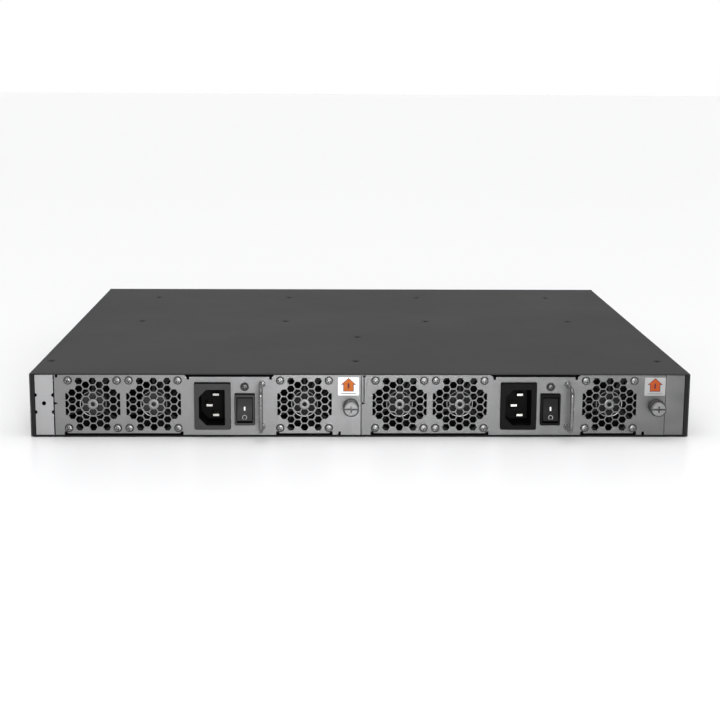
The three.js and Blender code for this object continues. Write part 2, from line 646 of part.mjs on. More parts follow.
// The captive thumbscrew: knurled head with a driver slot, neck and threaded end.
function thumbScrew() {
  const { x, z, r, length, neckR } = THUMB;
  const tip = FACE_REAR - length;
  const shoulder = FACE_REAR - 3.4;
  const end = FACE_INNER + 9;
  const profile = [
    [0, tip], [r - 0.8, tip], [r, tip + 0.8], [r, tip + 7.2], [r - 1.2, tip + 8.4],
    [r - 1.2, shoulder], [neckR, shoulder], [neckR, end], [0, end],
  ];
  return cut(turned(profile, x, z, 14), centred(x, z, 2 * r, 1.2, tip - 1, tip + 1.6));
}

// The ring pressed into the plate, which keeps the thumbscrew in it.
function ferrule() {
  const { x, z, neckR, ringR } = THUMB;
  const bore = neckR + 0.5;
  const lip = ringR - 1.3;
  const profile = [
    [bore, FACE_REAR - 2.9], [lip, FACE_REAR - 2.9], [ringR, FACE_REAR - 1.4], [ringR, FACE_INNER + 0.6],
    [lip, FACE_INNER + 1.6], [bore, FACE_INNER + 1.6], [bore, FACE_REAR - 2.9],
  ];
  return turned(profile, x, z, 10);
}

function earthScrew() {
  const { x, z, r, headT, shankR } = EARTH_SCREW;
  const head = rod(r, x, z, OUTER_Y - headT, OUTER_Y, 12);
  const shank = rod(shankR, x, z, OUTER_Y - 0.1, FACE_INNER + 7, 8);
  const [arm, slot] = [3.2, 0.7];
  const [y0, y1] = [OUTER_Y - headT - 1, OUTER_Y - headT / 2];
  return cut(join(head, shank), centred(x, z, arm, slot, y0, y1), centred(x, z, slot, arm, y0, y1));
}

function airflowLabel(side) {
  const { x, z, w, h, t } = LABEL;
  const back = FACE_REAR - 0.05;
  return centred(x[side], z, w, h, back - t, back);
}

// A sheet-metal sleeve round the power section, open to the rear and to the front.
const HOUSING = { x: [-14.8, 43.6], z: [FACE_LOW + 1, 39], y: [FACE_INNER + GAP, MODULE_FRONT - 14], t: 0.8 };

function powerHousing() {
  const { x: [x0, x1], y: [y0, y1], z: [z0, z1], t } = HOUSING;
  return cut(
    slab(x0, x1, y0, y1, z0, z1),
    slab(x0 + t, x1 - t, y0 - 1, y1 + 1, z0 + t, z1 - t),
  );
}

// The converter's board with its largest parts soldered on.
const CONVERTER = { x: [-12, 41], y: [FACE_REAR + 28, MODULE_FRONT - 17], z: FACE_LOW + 5 };

// Blocks as [x0, x1, y0, y1, height] and capacitors as [x, y, radius, height], y from the board's rear edge.
const CONVERTER_BLOCKS = [
  [-8, 12, 34, 56, 22],
  [18, 20.5, 12, 78, 24],
  [-11, -8.5, 62, 112, 24],
  [4, 34, 88, 112, 14],
];
const CAPACITORS = [[31, 18, 8, 22], [31, 40, 8, 22], [4, 16, 7, 18]];

function powerBoard() {
  const { x, y, z } = CONVERTER;
  const top = z + BOARD_T;
  const z0 = top - SOLDERED;
  return join(
    slab(...x, ...y, z, top),
    ...CONVERTER_BLOCKS.map(([x0, x1, y0, y1, h]) => slab(x0, x1, y[0] + y0, y[0] + y1, z0, top + h)),
    ...CAPACITORS.map(([cx, cy, r, h]) => post(r, cx, y[0] + cy, z0, top + h, 10)),
  );
}

// The blade connector at the module's inner end, which enters the midplane's socket.
function modulePlug() {
  const { w, h, z, tongue, socketD } = PLUG;
  const y1 = MIDPLANE_Y - socketD - GAP;
  return join(
    centred(0, z, w, h, MODULE_FRONT - 12, y1),
    centred(0, z, w - 8, tongue, y1 - 1, y1 + 6),
  );
}

// One complete module, drawn about its own middle and then moved sideways.
function powerModule(side, x) {
  const group = new THREE.Group();
  const add = (name, solid, material) => group.add(meshOf(`${side}_${name}`, solid, material));
  add("module_faceplate", facePlate(side), MATERIAL.face);
  add("module_tray", tray(), MATERIAL.face);
  add("power_housing", powerHousing(), MATERIAL.zinc);
  add("power_board", powerBoard(), MATERIAL.board);
  add("module_plug", modulePlug(), MATERIAL.black);
  add("inlet_body", inletBody(), MATERIAL.black);
  for (const pin of INLET_PINS) add(`inlet_pin_${pin.name}`, pinBlade(pin, 0), MATERIAL.nickel);
  add("switch_body", switchBody(), MATERIAL.black);
  add("switch_rocker", rocker(), MATERIAL.rocker);
  add("pull_handle", handle(), MATERIAL.zinc);
  add("thumbscrew", thumbScrew(), MATERIAL.zinc);
  add("earth_screw", earthScrew(), MATERIAL.dark);
  add("airflow_label", airflowLabel(side), MATERIAL.label);
  FAN_X.forEach((fanX, i) => {
    add(`fan_${i + 1}_frame`, fanFrame(fanX), MATERIAL.fan);
    add(`fan_${i + 1}_rotor`, fanRotor(fanX), MATERIAL.fan);
  });
  group.position.x = x;
  return group;
}

// ---------------------------------------------------------------- assembly
const networkSwitch = new THREE.Group();
const add = (name, solid, material) => networkSwitch.add(meshOf(name, solid, material));

add("base_pan", basePan(), MATERIAL.pan);
add("top_cover", topCover(), MATERIAL.cover);
add("front_panel", frontPanel(), MATERIAL.cover);
add("rear_strip_left", leftStrip(), MATERIAL.strip);
add("rear_strip_right", rightStrip(), MATERIAL.strip);
add("bay_divider", bayDivider(), MATERIAL.strip);

GANG_X.forEach((x, i) => add(`port_cage_${i + 1}`, cageBlock(x), MATERIAL.nickel));
RJ45.x.forEach((x, i) => add(`management_jack_${i + 1}`, jack(x, RJ45), MATERIAL.nickel));
add("usb_jack", jack(USB.x, USB), MATERIAL.nickel);
add("status_light_bar", ledBar(), MATERIAL.label);

add("main_board", mainBoard(), MATERIAL.board);
add("switch_heatsink", heatSink(SWITCH_CHIP), MATERIAL.heatsink);
add("processor_heatsink", heatSink(PROCESSOR), MATERIAL.heatsink);
add("midplane_board", midplane(), MATERIAL.board);
add("midplane_socket_left", midplaneSocket(-MODULE_X), MATERIAL.black);
add("midplane_socket_right", midplaneSocket(MODULE_X), MATERIAL.black);

networkSwitch.add(powerModule("left", -MODULE_X));
networkSwitch.add(powerModule("right", MODULE_X));

export default networkSwitch;
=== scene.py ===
"""Looks of a rackmount network switch, seen from its rear (power) side.

Every piece is drawn in millimetres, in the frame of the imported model, and lands in metres at its real place.
"""

import math
import random

import bmesh
import bpy
from mathutils import Matrix, Vector


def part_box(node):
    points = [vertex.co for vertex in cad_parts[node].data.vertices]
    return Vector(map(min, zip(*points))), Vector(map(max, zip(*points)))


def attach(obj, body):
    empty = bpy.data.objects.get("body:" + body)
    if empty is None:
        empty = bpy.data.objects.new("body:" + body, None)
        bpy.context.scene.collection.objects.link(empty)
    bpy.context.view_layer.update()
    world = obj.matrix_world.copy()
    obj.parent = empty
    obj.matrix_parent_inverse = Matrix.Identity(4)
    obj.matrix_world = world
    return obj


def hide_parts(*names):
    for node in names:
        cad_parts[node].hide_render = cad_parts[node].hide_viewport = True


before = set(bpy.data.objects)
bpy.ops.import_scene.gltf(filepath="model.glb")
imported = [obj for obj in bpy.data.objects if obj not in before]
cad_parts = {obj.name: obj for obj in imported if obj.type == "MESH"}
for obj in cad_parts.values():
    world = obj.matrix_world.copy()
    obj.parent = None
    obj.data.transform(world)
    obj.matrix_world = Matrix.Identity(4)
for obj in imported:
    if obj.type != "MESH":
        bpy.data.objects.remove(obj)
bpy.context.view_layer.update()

MM = 0.001
SIDES = ("left", "right")
FANS = (1, 2, 3)
SHARP = math.radians(35)
WELD = 1e-4
ON_AXIS = 1e-6
random.seed(11)


# ----- places read from the frame
def low(node):
    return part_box(node)[0] / MM


def high(node):
    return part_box(node)[1] / MM


def middle(node):
    return (low(node) + high(node)) / 2


COVER_LOW, COVER_HIGH = low("top_cover"), high("top_cover")
REAR = COVER_LOW.y
FRONT = high("front_panel").y
SHEET = 1.0
FACE_OUT = REAR + 0.5
FACE_T = 1.2
FACE_IN = FACE_OUT + FACE_T
SEATED = FACE_OUT - 0.02  # where the backs of the mouldings and screws lie on the face plates
FACE_LOW = low("rear_strip_left").z
FACE_HIGH = high("rear_strip_left").z
FAN_Z = middle("left_fan_1_frame").z


# ----- outlines, as lists of (x, z)
def circle(x, z, r, sides=32):
    turns = [math.tau * i / sides for i in range(sides)]
    return [(x + r * math.cos(a), z + r * math.sin(a)) for a in turns]


def rounded(corners, radius, steps=4):
    """The outline with each corner rounded by an arc of about that radius."""
    out = []
    count = len(corners)
    for i, here in enumerate(corners):
        p = Vector(here)
        before = Vector(corners[i - 1]) - p
        after = Vector(corners[(i + 1) % count]) - p
        reach = min(radius, before.length / 2.01, after.length / 2.01)
        a = p + before.normalized() * reach
        b = p + after.normalized() * reach
        for k in range(steps + 1):
            t = k / steps
            q = a.lerp(p, t).lerp(p.lerp(b, t), t)
            out.append((q.x, q.y))
    return out


def rectangle(x0, x1, z0, z1, radius=0.0, steps=4):
    corners = [(x0, z0), (x1, z0), (x1, z1), (x0, z1)]
    return rounded(corners, radius, steps) if radius else corners


def footprint(lo, hi, radius, room=0.0):
    """The rectangle between two corners as seen along Y, grown by room on every side."""
    return rectangle(lo.x - room, hi.x + room, lo.z - room, hi.z + room, radius)


def hexagon(x, z, flats, corner):
    return rounded(circle(x, z, flats / math.sqrt(3), 6), corner, 2)


# ----- meshes, in millimetres
def from_bmesh(bm):
    bmesh.ops.remove_doubles(bm, verts=bm.verts, dist=WELD)
    bmesh.ops.recalc_face_normals(bm, faces=bm.faces)
    mesh = bpy.data.meshes.new("shape")
    bm.to_mesh(mesh)
    bm.free()
    return mesh


def evaluated_mesh(obj):
    graph = bpy.context.evaluated_depsgraph_get()
    return bpy.data.meshes.new_from_object(obj.evaluated_get(graph))


def filled_curve(curve, turn):
    """The mesh that a curve makes, turned. The curve itself is removed."""
    holder = bpy.data.objects.new("curve", curve)
    bpy.context.scene.collection.objects.link(holder)
    mesh = evaluated_mesh(holder)
    bpy.data.objects.remove(holder)
    bpy.data.curves.remove(curve)
    mesh.transform(turn)
    bm = bmesh.new()
    bm.from_mesh(mesh)
    bpy.data.meshes.remove(mesh)
    return from_bmesh(bm)


def plate(outer, holes, y0, y1, edge=0.12):
    """A sheet with holes, lying in X and Z from y0 to y1, with small rounded edges."""
    curve = bpy.data.curves.new("outline", "CURVE")
    curve.dimensions = "2D"
    curve.fill_mode = "BOTH"
    for loop in [outer, *holes]:
        spline = curve.splines.new("POLY")
        spline.points.add(len(loop) - 1)
        for point, (x, z) in zip(spline.points, loop):
            point.co = (x, z, 0, 1)
        spline.use_cyclic_u = True
    curve.extrude = (y1 - y0) / 2 - edge
    curve.bevel_depth = edge
    curve.bevel_resolution = 1
    curve.offset = -edge
    upright = Matrix(((1, 0, 0, 0), (0, 0, -1, (y0 + y1) / 2), (0, 1, 0, 0), (0, 0, 0, 1)))
    return filled_curve(curve, upright)


def block(x0, x1, y0, y1, z0, z1, edge=0.0, turn=None):
    """A box between two corners. turn is a matrix applied about its own middle."""
    bm = bmesh.new()
    bmesh.ops.create_cube(bm, size=1)
    bmesh.ops.scale(bm, vec=(x1 - x0, y1 - y0, z1 - z0), verts=bm.verts)
    if edge:
        bmesh.ops.bevel(bm, geom=bm.edges[:], offset=edge, segments=2, affect="EDGES", profile=0.5)
    if turn:
        bmesh.ops.transform(bm, matrix=turn, verts=bm.verts)
    bmesh.ops.translate(bm, vec=((x0 + x1) / 2, (y0 + y1) / 2, (z0 + z1) / 2), verts=bm.verts)
    return from_bmesh(bm)


def skin(bm, rings):
    """Faces between neighbouring rings of vertices. A ring of one vertex closes to a point."""
    for a, b in zip(rings, rings[1:]):
        sides = max(len(a), len(b))
        for i in range(sides):
            j = (i + 1) % sides
            corners = dict.fromkeys([a[i % len(a)], a[j % len(a)], b[j % len(b)], b[i % len(b)]])
            if len(corners) > 2:
                bm.faces.new(list(corners))


TO_Y = Matrix(((1, 0, 0, 0), (0, 0, 1, 0), (0, -1, 0, 0), (0, 0, 0, 1)))
TO_Z = Matrix.Identity(4)


def lathe(profile, centre, sides=40, axis=TO_Y):
    """A profile of (radius, height) turned about an axis. The height runs along +Y, or +Z with axis=TO_Z.

    A profile that starts on the axis makes a solid, and one that starts off it is closed into a ring.
    """
    bm = bmesh.new()
    rings = []
    for r, h in profile:
        places = circle(0, 0, r, sides) if r > ON_AXIS else [(0, 0)]
        rings.append([bm.verts.new((x, y, h)) for x, y in places])
    if profile[0][0] > ON_AXIS:
        rings.append(rings[0])
    skin(bm, rings)
    bmesh.ops.transform(bm, matrix=axis, verts=bm.verts)
    bmesh.ops.translate(bm, vec=centre, verts=bm.verts)
    return from_bmesh(bm)


def tube(points, r, sides):
    """A round wire through points."""
    curve = bpy.data.curves.new("wire", "CURVE")
    curve.dimensions = "3D"
    curve.bevel_depth = r
    curve.bevel_resolution = sides // 4
    curve.use_fill_caps = True
    spline = curve.splines.new("POLY")
    spline.points.add(len(points) - 1)
    for point, place in zip(spline.points, points):
        point.co = (*place, 1)
    return filled_curve(curve, Matrix.Identity(4))


def extruded(profile, x0, x1):
    """A closed (y, z) outline drawn out along X."""
    bm = bmesh.new()
    ends = [[bm.verts.new((x, y, z)) for y, z in profile] for x in (x0, x1)]
    count = len(profile)
    for k in range(count):
        j = (k + 1) % count
        bm.faces.new((ends[0][k], ends[0][j], ends[1][j], ends[1][k]))
    bm.faces.new(ends[0])
    bm.faces.new(ends[1][::-1])
    return from_bmesh(bm)


def moved(mesh, offset=(0, 0, 0), turn=None):
    """A copy of the mesh, turned about the origin and then shifted."""
    copy = mesh.copy()
    if turn:
        copy.transform(turn)
    copy.transform(Matrix.Translation(offset))
    return copy


def joined(*meshes):
    bm = bmesh.new()
    for mesh in meshes:
        bm.from_mesh(mesh)
    mesh = bpy.data.meshes.new("joined")
    bm.to_mesh(mesh)
    bm.free()
    return mesh


def carved(mesh, *cutters):
    """The mesh with each cutter taken out of it in turn. A cutter's own shells must not overlap."""
    body = bpy.data.objects.new("body", mesh)
    tools = [bpy.data.objects.new("cutter", m) for m in cutters]
    for obj in [body, *tools]:
        bpy.context.scene.collection.objects.link(obj)
    for tool in tools:
        boolean = body.modifiers.new("cut", "BOOLEAN")
        boolean.operation = "DIFFERENCE"
        boolean.solver = "EXACT"
        boolean.object = tool
    result = evaluated_mesh(body)
    for obj in [body, *tools]:
        bpy.data.objects.remove(obj)
    return result


def piece(name, mesh, body, material, bevel=0.0, stands_for=()):
    """Puts a mesh drawn in millimetres into the scene as a finished piece."""
    mesh.transform(Matrix.Scale(MM, 4))
    mesh.name = name
    mesh.materials.clear()
    mesh.materials.append(material)
    obj = bpy.data.objects.new(name, mesh)
    bpy.context.scene.collection.objects.link(obj)
    finish_surface(obj, bevel)
    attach(obj, body)
    if stands_for:
        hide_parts(*stands_for)
    return obj


def soften(obj, width):
    """Rounds an object's sharp edges. The width is in millimetres."""
    soft = obj.modifiers.new("edges", "BEVEL")
    soft.width = width * MM
    soft.segments = 2
    soft.limit_method = "ANGLE"
    soft.angle_limit = SHARP
    return soft


def finish_surface(obj, bevel=0.0):
    """Smooth shading, with the sharp edges either rounded or kept sharp."""
    mesh = obj.data
    mesh.polygons.foreach_set("use_smooth", [True] * len(mesh.polygons))
    if bevel:
        soften(obj, bevel).harden_normals = True
        return
    mesh.set_sharp_from_angle(angle=SHARP)
    normals = obj.modifiers.new("normals", "WEIGHTED_NORMAL")
    normals.keep_sharp = True


def dress(node, material):
    """Gives a CAD node that keeps its shape its material and softened edges."""
    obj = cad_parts[node]
    obj.data.materials.clear()
    obj.data.materials.append(material)
    for polygon in obj.data.polygons:
        polygon.material_index = 0
    soften(obj, 0.15)


# ----- materials
def noise(nodes, links, coords, scale, detail, stretch):
    mapping = nodes.new("ShaderNodeMapping")
    mapping.inputs["Scale"].default_value = stretch
    links.new(coords.outputs["Object"], mapping.inputs["Vector"])
    texture = nodes.new("ShaderNodeTexNoise")
    texture.inputs["Scale"].default_value = scale
    texture.inputs["Detail"].default_value = detail
    texture.inputs["Roughness"].default_value = 0.55
    links.new(mapping.outputs["Vector"], texture.inputs["Vector"])
    return texture.outputs["Fac"]


def spread(nodes, links, value, low_value, high_value, from_low=0.3, from_high=0.7):
    ranged = nodes.new("ShaderNodeMapRange")
    limits = {"From Min": from_low, "From Max": from_high, "To Min": low_value, "To Max": high_value}
    for name, limit in limits.items():
        ranged.inputs[name].default_value = limit
    links.new(value, ranged.inputs["Value"])
    return ranged.outputs["Result"]


MIX_SHARE, MIX_FIRST, MIX_SECOND, MIX_RESULT = 0, 6, 7, 2  # sockets of a node that mixes colours
GRAIN_SHARE = 0.35


def toned(nodes, links, patches, fine, colours):
    """A colour between two, by the patches and partly by the grain."""
    tone = nodes.new("ShaderNodeMix")
    tone.data_type = "RGBA"
    for socket, colour in zip((MIX_FIRST, MIX_SECOND), colours):
        tone.inputs[socket].default_value = (*colour, 1)
    share = nodes.new("ShaderNodeMath")
    share.operation = "MULTIPLY_ADD"
    share.inputs[1].default_value = GRAIN_SHARE
    links.new(fine, share.inputs[0])
    links.new(spread(nodes, links, patches, 0, 1 - GRAIN_SHARE), share.inputs[2])
    links.new(share.outputs[0], tone.inputs[MIX_SHARE])
    return tone.outputs[MIX_RESULT]


def edge_wear(nodes, links, colour, worn_colour):
    """The colour, turning into the worn one where the surface is convex."""
    geometry = nodes.new("ShaderNodeNewGeometry")
    convex = spread(nodes, links, geometry.outputs["Pointiness"], 0, 0.7, 0.52, 0.62)
    worn = nodes.new("ShaderNodeMix")
    worn.data_type = "RGBA"
    worn.inputs[MIX_SECOND].default_value = (*worn_colour, 1)
    links.new(convex, worn.inputs[MIX_SHARE])
    links.new(colour, worn.inputs[MIX_FIRST])
    return worn.outputs[MIX_RESULT]


def surface(name, colours, rough, metallic, blotch, grain, depth, stretch=(1, 1, 1), specular=0.5, wear=0.0):
    """A worn, grained surface.

    colours are the darkest and lightest tone, and rough is the range of roughness. blotch and grain are the
    scales of the colour patches and of the fine relief per metre, which stretch makes finer along some axes.
    depth is the relief in millimetres, and wear is how much lighter the convex edges are.
    """
    material = bpy.data.materials.new(name)
    material.use_nodes = True
    nodes, links = material.node_tree.nodes, material.node_tree.links
    shader = nodes["Principled BSDF"]
    coords = nodes.new("ShaderNodeTexCoord")
    patches = noise(nodes, links, coords, blotch, 5, stretch)
    fine = noise(nodes, links, coords, grain, 3, stretch)

    colour = toned(nodes, links, patches, fine, colours)
    if wear:
        lighter = [min(1, c * (1 + wear)) for c in colours[1]]
        colour = edge_wear(nodes, links, colour, lighter)
    links.new(colour, shader.inputs["Base Color"])
    links.new(spread(nodes, links, patches, rough[0], rough[1]), shader.inputs["Roughness"])
    shader.inputs["Metallic"].default_value = metallic
    shader.inputs["Specular IOR Level"].default_value = specular
    bump = nodes.new("ShaderNodeBump")
    bump.inputs["Strength"].default_value = 0.6
    bump.inputs["Distance"].default_value = depth * MM
    links.new(fine, bump.inputs["Height"])
    links.new(bump.outputs["Normal"], shader.inputs["Normal"])
    return material


def greys(dark, light):
    """Two greys with a slight cool cast."""
    return [(tone, tone, tone * 1.01) for tone in (dark, light)]


def coat(name, tones, rough, blotch, specular):
    """A powder coat, worn lighter at its edges."""
    return surface(name, greys(*tones), rough, 0.0, blotch, 1300, 0.04, specular=specular, wear=0.3)


def metal(name, tones, rough, blotch, grain, depth, stretch=(1, 1, 1)):
    return surface(name, greys(*tones), rough, 1.0, blotch, grain, depth, stretch)


def plastic(name, tones, rough, specular, blotch=120, grain=2200, depth=0.02, wear=0.0):
    return surface(name, greys(*tones), rough, 0.0, blotch, grain, depth, specular=specular, wear=wear)


def ink(name, colours, specular=0.5):
    return surface(name, colours, (0.4, 0.5), 0.0, 500, 1800, 0.004, specular=specular)


POWDER = coat("powder_coat", (0.026, 0.033), (0.62, 0.72), 9, 0.16)
DARK_POWDER = coat("dark_powder_coat", (0.005, 0.009), (0.5, 0.64), 14, 0.14)
# The right module's sheet is the same zinc as the left's, painted darker as shade.
ZINC_SHEETS = {
    "left": metal("zinc_sheet", (0.160, 0.20), (0.44, 0.54), 90, 900, 0.012),
    "right": metal("shaded_zinc_sheet", (0.105, 0.136), (0.35, 0.45), 90, 900, 0.012),
}
STRIP_SHEET = metal("strip_sheet", (0.30, 0.34), (0.42, 0.5), 60, 700, 0.01, (3, 1, 0.3))
# The fan screws' rims are painted darker than their middles as shade, and their middles carry mottled painted
# highlights.
SCREW_ZINC = metal("screw_zinc", (0.085, 0.14), (0.34, 0.46), 350, 1500, 0.006)
GLINTING_SCREW_CORE = metal("screw_core_painted_glints", (0.06, 0.42), (0.32, 0.46), 650, 2500, 0.006)
# Dark zinc for the knob's side, its ring and the bay divider, painted darker than the knob's face as shade.
SHADED_DARK_ZINC = metal("shaded_dark_zinc", (0.045, 0.085), (0.34, 0.46), 350, 1500, 0.006)
HANDLE_ZINC = metal("handle_zinc", (0.12, 0.19), (0.2, 0.3), 260, 1400, 0.004)
KNOB_FACE = metal("knob_face", (0.15, 0.20), (0.42, 0.52), 300, 1400, 0.006)
ALUMINIUM = metal("aluminium", (0.48, 0.58), (0.3, 0.45), 60, 900, 0.012, (4, 0.3, 1))
NICKEL = surface("nickel", ((0.50, 0.49, 0.46), (0.60, 0.58, 0.55)), (0.16, 0.3), 1.0, 200, 1500, 0.004)
GOLD = surface("gold_plate", ((0.72, 0.50, 0.18), (0.85, 0.62, 0.28)), (0.2, 0.32), 1.0, 400, 2500, 0.004)
# Dark steel for the earth screw's rim and washer, painted darker than the head's middle as shade.
SHADED_DARK_STEEL = surface("shaded_dark_steel", greys(0.035, 0.065), (0.36, 0.5), 0.9, 400, 2500, 0.008)
BLACK_OXIDE = plastic("black_oxide", (0.004, 0.009), (0.5, 0.62), 0.1, 300, 2500, 0.008)
BLACK = plastic("black_moulding", (0.012, 0.018), (0.42, 0.54), 0.28, wear=0.4)
# The right module's rims are the same moulding as the left's, painted near-black as shade.
RIMS = {
    "left": plastic("rim_moulding", (0.014, 0.020), (0.42, 0.54), 0.3, wear=0.4),
    "right": plastic("shaded_rim_moulding", (0.003, 0.005), (0.44, 0.56), 0.06, wear=0.3),
}
# Near-black for the flange sides, the band behind them and the insides of the inlet and switch mouldings,
# painted as shade.
SHADE_BLACK_MOULDING = plastic("shade_black_moulding", (0.002, 0.004), (0.55, 0.66), 0.08, 160)
# The right paddle is the same moulding as the left's, painted darker as shade.
ROCKERS = {
    "left": plastic("rocker_moulding", (0.009, 0.013), (0.46, 0.56), 0.25, 120, 1800, 0.008, 0.4),
    "right": plastic("shaded_rocker_moulding", (0.004, 0.008), (0.46, 0.56), 0.12, 120, 1800, 0.008, 0.3),
}
FAN_BLACK = plastic("fan_moulding", (0.003, 0.006), (0.46, 0.58), 0.12, 150, 1500)
FAN_LABEL = plastic("fan_label_film", (0.006, 0.021), (0.4, 0.5), 0.22, 420, 2000, 0.005)
DARK_FAN_LABEL = plastic("dark_fan_label_film", (0.004, 0.009), (0.44, 0.54), 0.1, 200, 2000, 0.005)
# The right label's film is the same white film as the left's, painted grey as shade.
FILMS = {
    "left": plastic("label_film", (0.76, 0.82), (0.4, 0.5), 0.5, 150, 1800, 0.006),
    "right": plastic("shaded_label_film", (0.27, 0.33), (0.4, 0.5), 0.5, 150, 1800, 0.006),
}
# The right label's ink is redder and painted darker as shade.
ORANGES = {
    "left": ink("orange_ink", ((0.38, 0.085, 0.012), (0.50, 0.14, 0.022)), 0.15),
    "right": ink("shaded_red_orange_ink", ((0.30, 0.042, 0.008), (0.40, 0.08, 0.014)), 0.15),
}
DARK_INK = ink("dark_ink", ((0.05, 0.010, 0.018), (0.09, 0.02, 0.03)), 0.15)
FAINT_INK = ink("faint_ink", greys(0.16, 0.22))
WHITE_INK = ink("white_ink", greys(0.72, 0.82))
BOARD_GREENS = ((0.012, 0.07, 0.035), (0.02, 0.12, 0.055))
BOARD = surface("circuit_board", BOARD_GREENS, (0.35, 0.5), 0.0, 260, 900, 0.04)
PIPE_WHITES = ((0.55, 0.60, 0.58), (0.66, 0.72, 0.70))
LIGHT_PIPE = surface("light_pipe", PIPE_WHITES, (0.15, 0.25), 0.0, 300, 1500, 0.004)


# ----- fasteners
def cross_cutter(r, depth, top):
    """The two crossing bars of a driver recess, which opens towards -Z at height top."""
    long, short = r * 0.62, r * 0.19
    taper = 0.4
    bars = []
    for along_x in (True, False):
        bm = bmesh.new()
        bmesh.ops.create_cube(bm, size=2)
        for v in bm.verts:
            inner = v.co.z > 0
            reach = long * taper if inner else long
            v.co.x *= reach if along_x else short
            v.co.y *= short if along_x else reach
            v.co.z = top + depth if inner else top - 0.5
        bars.append(from_bmesh(bm))
    return bars


def pan_head(r, height):
    """A screw head on z = 0 that faces -Z, as its rounded rim and its middle with a cross recess."""
    top = -height
    middle_r = r * 0.62
    rim = [(middle_r, top * 0.94), (r * 0.76, top * 0.9), (r * 0.9, top * 0.66), (r * 0.98, top * 0.36)]
    rim += [(r, top * 0.1), (r, 0), (middle_r, 0)]
    core_r = middle_r * 0.98
    core = [(0, top * 0.97), (middle_r * 0.8, top * 0.97), (core_r, top * 0.9), (core_r, 0), (0, 0)]
    recess = cross_cutter(r * 0.92, height * 0.9, top)
    return lathe(rim, (0, 0, 0), 28, TO_Z), carved(lathe(core, (0, 0, 0), 28, TO_Z), *recess)


def flat_head(r, depth):
    """A countersunk head with a cross recess. Its flat face is at z = 0 and it narrows towards -Z."""
    body = lathe([(0, 0), (r, 0), (r, -0.15), (r * 0.5, -depth), (0, -depth)], (0, 0, 0), 28, TO_Z)
    flip = Matrix.Rotation(math.pi, 4, "X")
    cutters = [moved(m, turn=flip) for m in cross_cutter(r, depth * 0.75, 0)]
    return carved(body, *cutters)


FACE_TURN = Matrix.Rotation(math.radians(-90), 4, "X")


def on_face(mesh, x, y, z, spin=0.0):
    """A part drawn facing -Z, turned to face -Y and set down at a place."""
    return moved(mesh, (x, y, z), FACE_TURN @ Matrix.Rotation(spin, 4, "Z"))


# ----- chassis
COVER_SCREW_R = 3.1
REAR_ROW = (COVER_LOW.y + 42, COVER_LOW.y + 136)


def cover_screw_places():
    places = [(x, y) for y in (FRONT - 50, FRONT - 174.5) for x in (-170, -56, 56, 170)]
    places += [(0, REAR_ROW[1]), *[(x, REAR_ROW[0]) for x in (-212.5, -3, 206.5)]]
    return places


def ear_hole_places():
    return [(y, z) for y in (FRONT - 22, FRONT - 54) for z in (12, 32)]


def folded_outline(x0, x1, z0, z1):
    """A sheet folded down at both sides, as seen from the rear."""
    bend = 1.15
    steps = 6

    def corner(x, r, start):
        turns = [math.radians(start + 90 * i / steps) for i in range(steps + 1)]
        return [(x + r * math.cos(a), z1 - bend + r * math.sin(a)) for a in turns]

    inner_bend = bend - SHEET
    outline = [(x1, z0), *corner(x1 - bend, bend, 0), *corner(x0 + bend, bend, 90), (x0, z0)]
    outline += [(x0 + SHEET, z0), *reversed(corner(x0 + bend, inner_bend, 90))]
    outline += [*reversed(corner(x1 - bend, inner_bend, 0)), (x1 - SHEET, z0)]
    return outline


def top_cover():
    """One folded sheet, with countersunk holes along the top and clearance holes for rack ears."""
    x0, x1 = COVER_LOW.x, COVER_HIGH.x
    z0, z1 = COVER_LOW.z, COVER_HIGH.z
    sheet = plate(folded_outline(x0, x1, z0, z1), [], COVER_LOW.y, COVER_HIGH.y, 0.08)
    sink = lathe([(0, 0.3), (3.5, 0.3), (3.5, 0), (1.9, -1.05), (1.9, -2), (0, -2)], (0, 0, 0), 24, TO_Z)
    cutters = [moved(sink, (x, y, z1)) for x, y in cover_screw_places()]
    along_x = Matrix.Rotation(math.radians(90), 4, "Y")
    hole = lathe([(0, -3), (2.2, -3), (2.2, 3), (0, 3)], (0, 0, 0), 20, TO_Z)
    for x in (x0, x1):
        cutters += [moved(hole, (x, y, z), along_x) for y, z in ear_hole_places()]
    sheet = carved(sheet, joined(*cutters))
    piece("cover_sheet", sheet, "chassis", POWDER, stands_for=["top_cover"])

    head = flat_head(COVER_SCREW_R, 0.9)
    screws = []
    for x, y in cover_screw_places():
        spin = Matrix.Rotation(random.uniform(0, math.tau), 4, "Z")
        screws.append(moved(head, (x, y, z1 - 0.3), spin))
    piece("cover_screws", joined(*screws), "chassis", BLACK_OXIDE)


def drill(place, r):
    """A round cutter through the rear sheet and some way beyond it."""
    return lathe([(0, -2), (r, -2), (r, 9), (0, 9)], (place[0], FACE_OUT, place[1]), 24)


NICK_HEIGHTS = (16.9, 28.5)


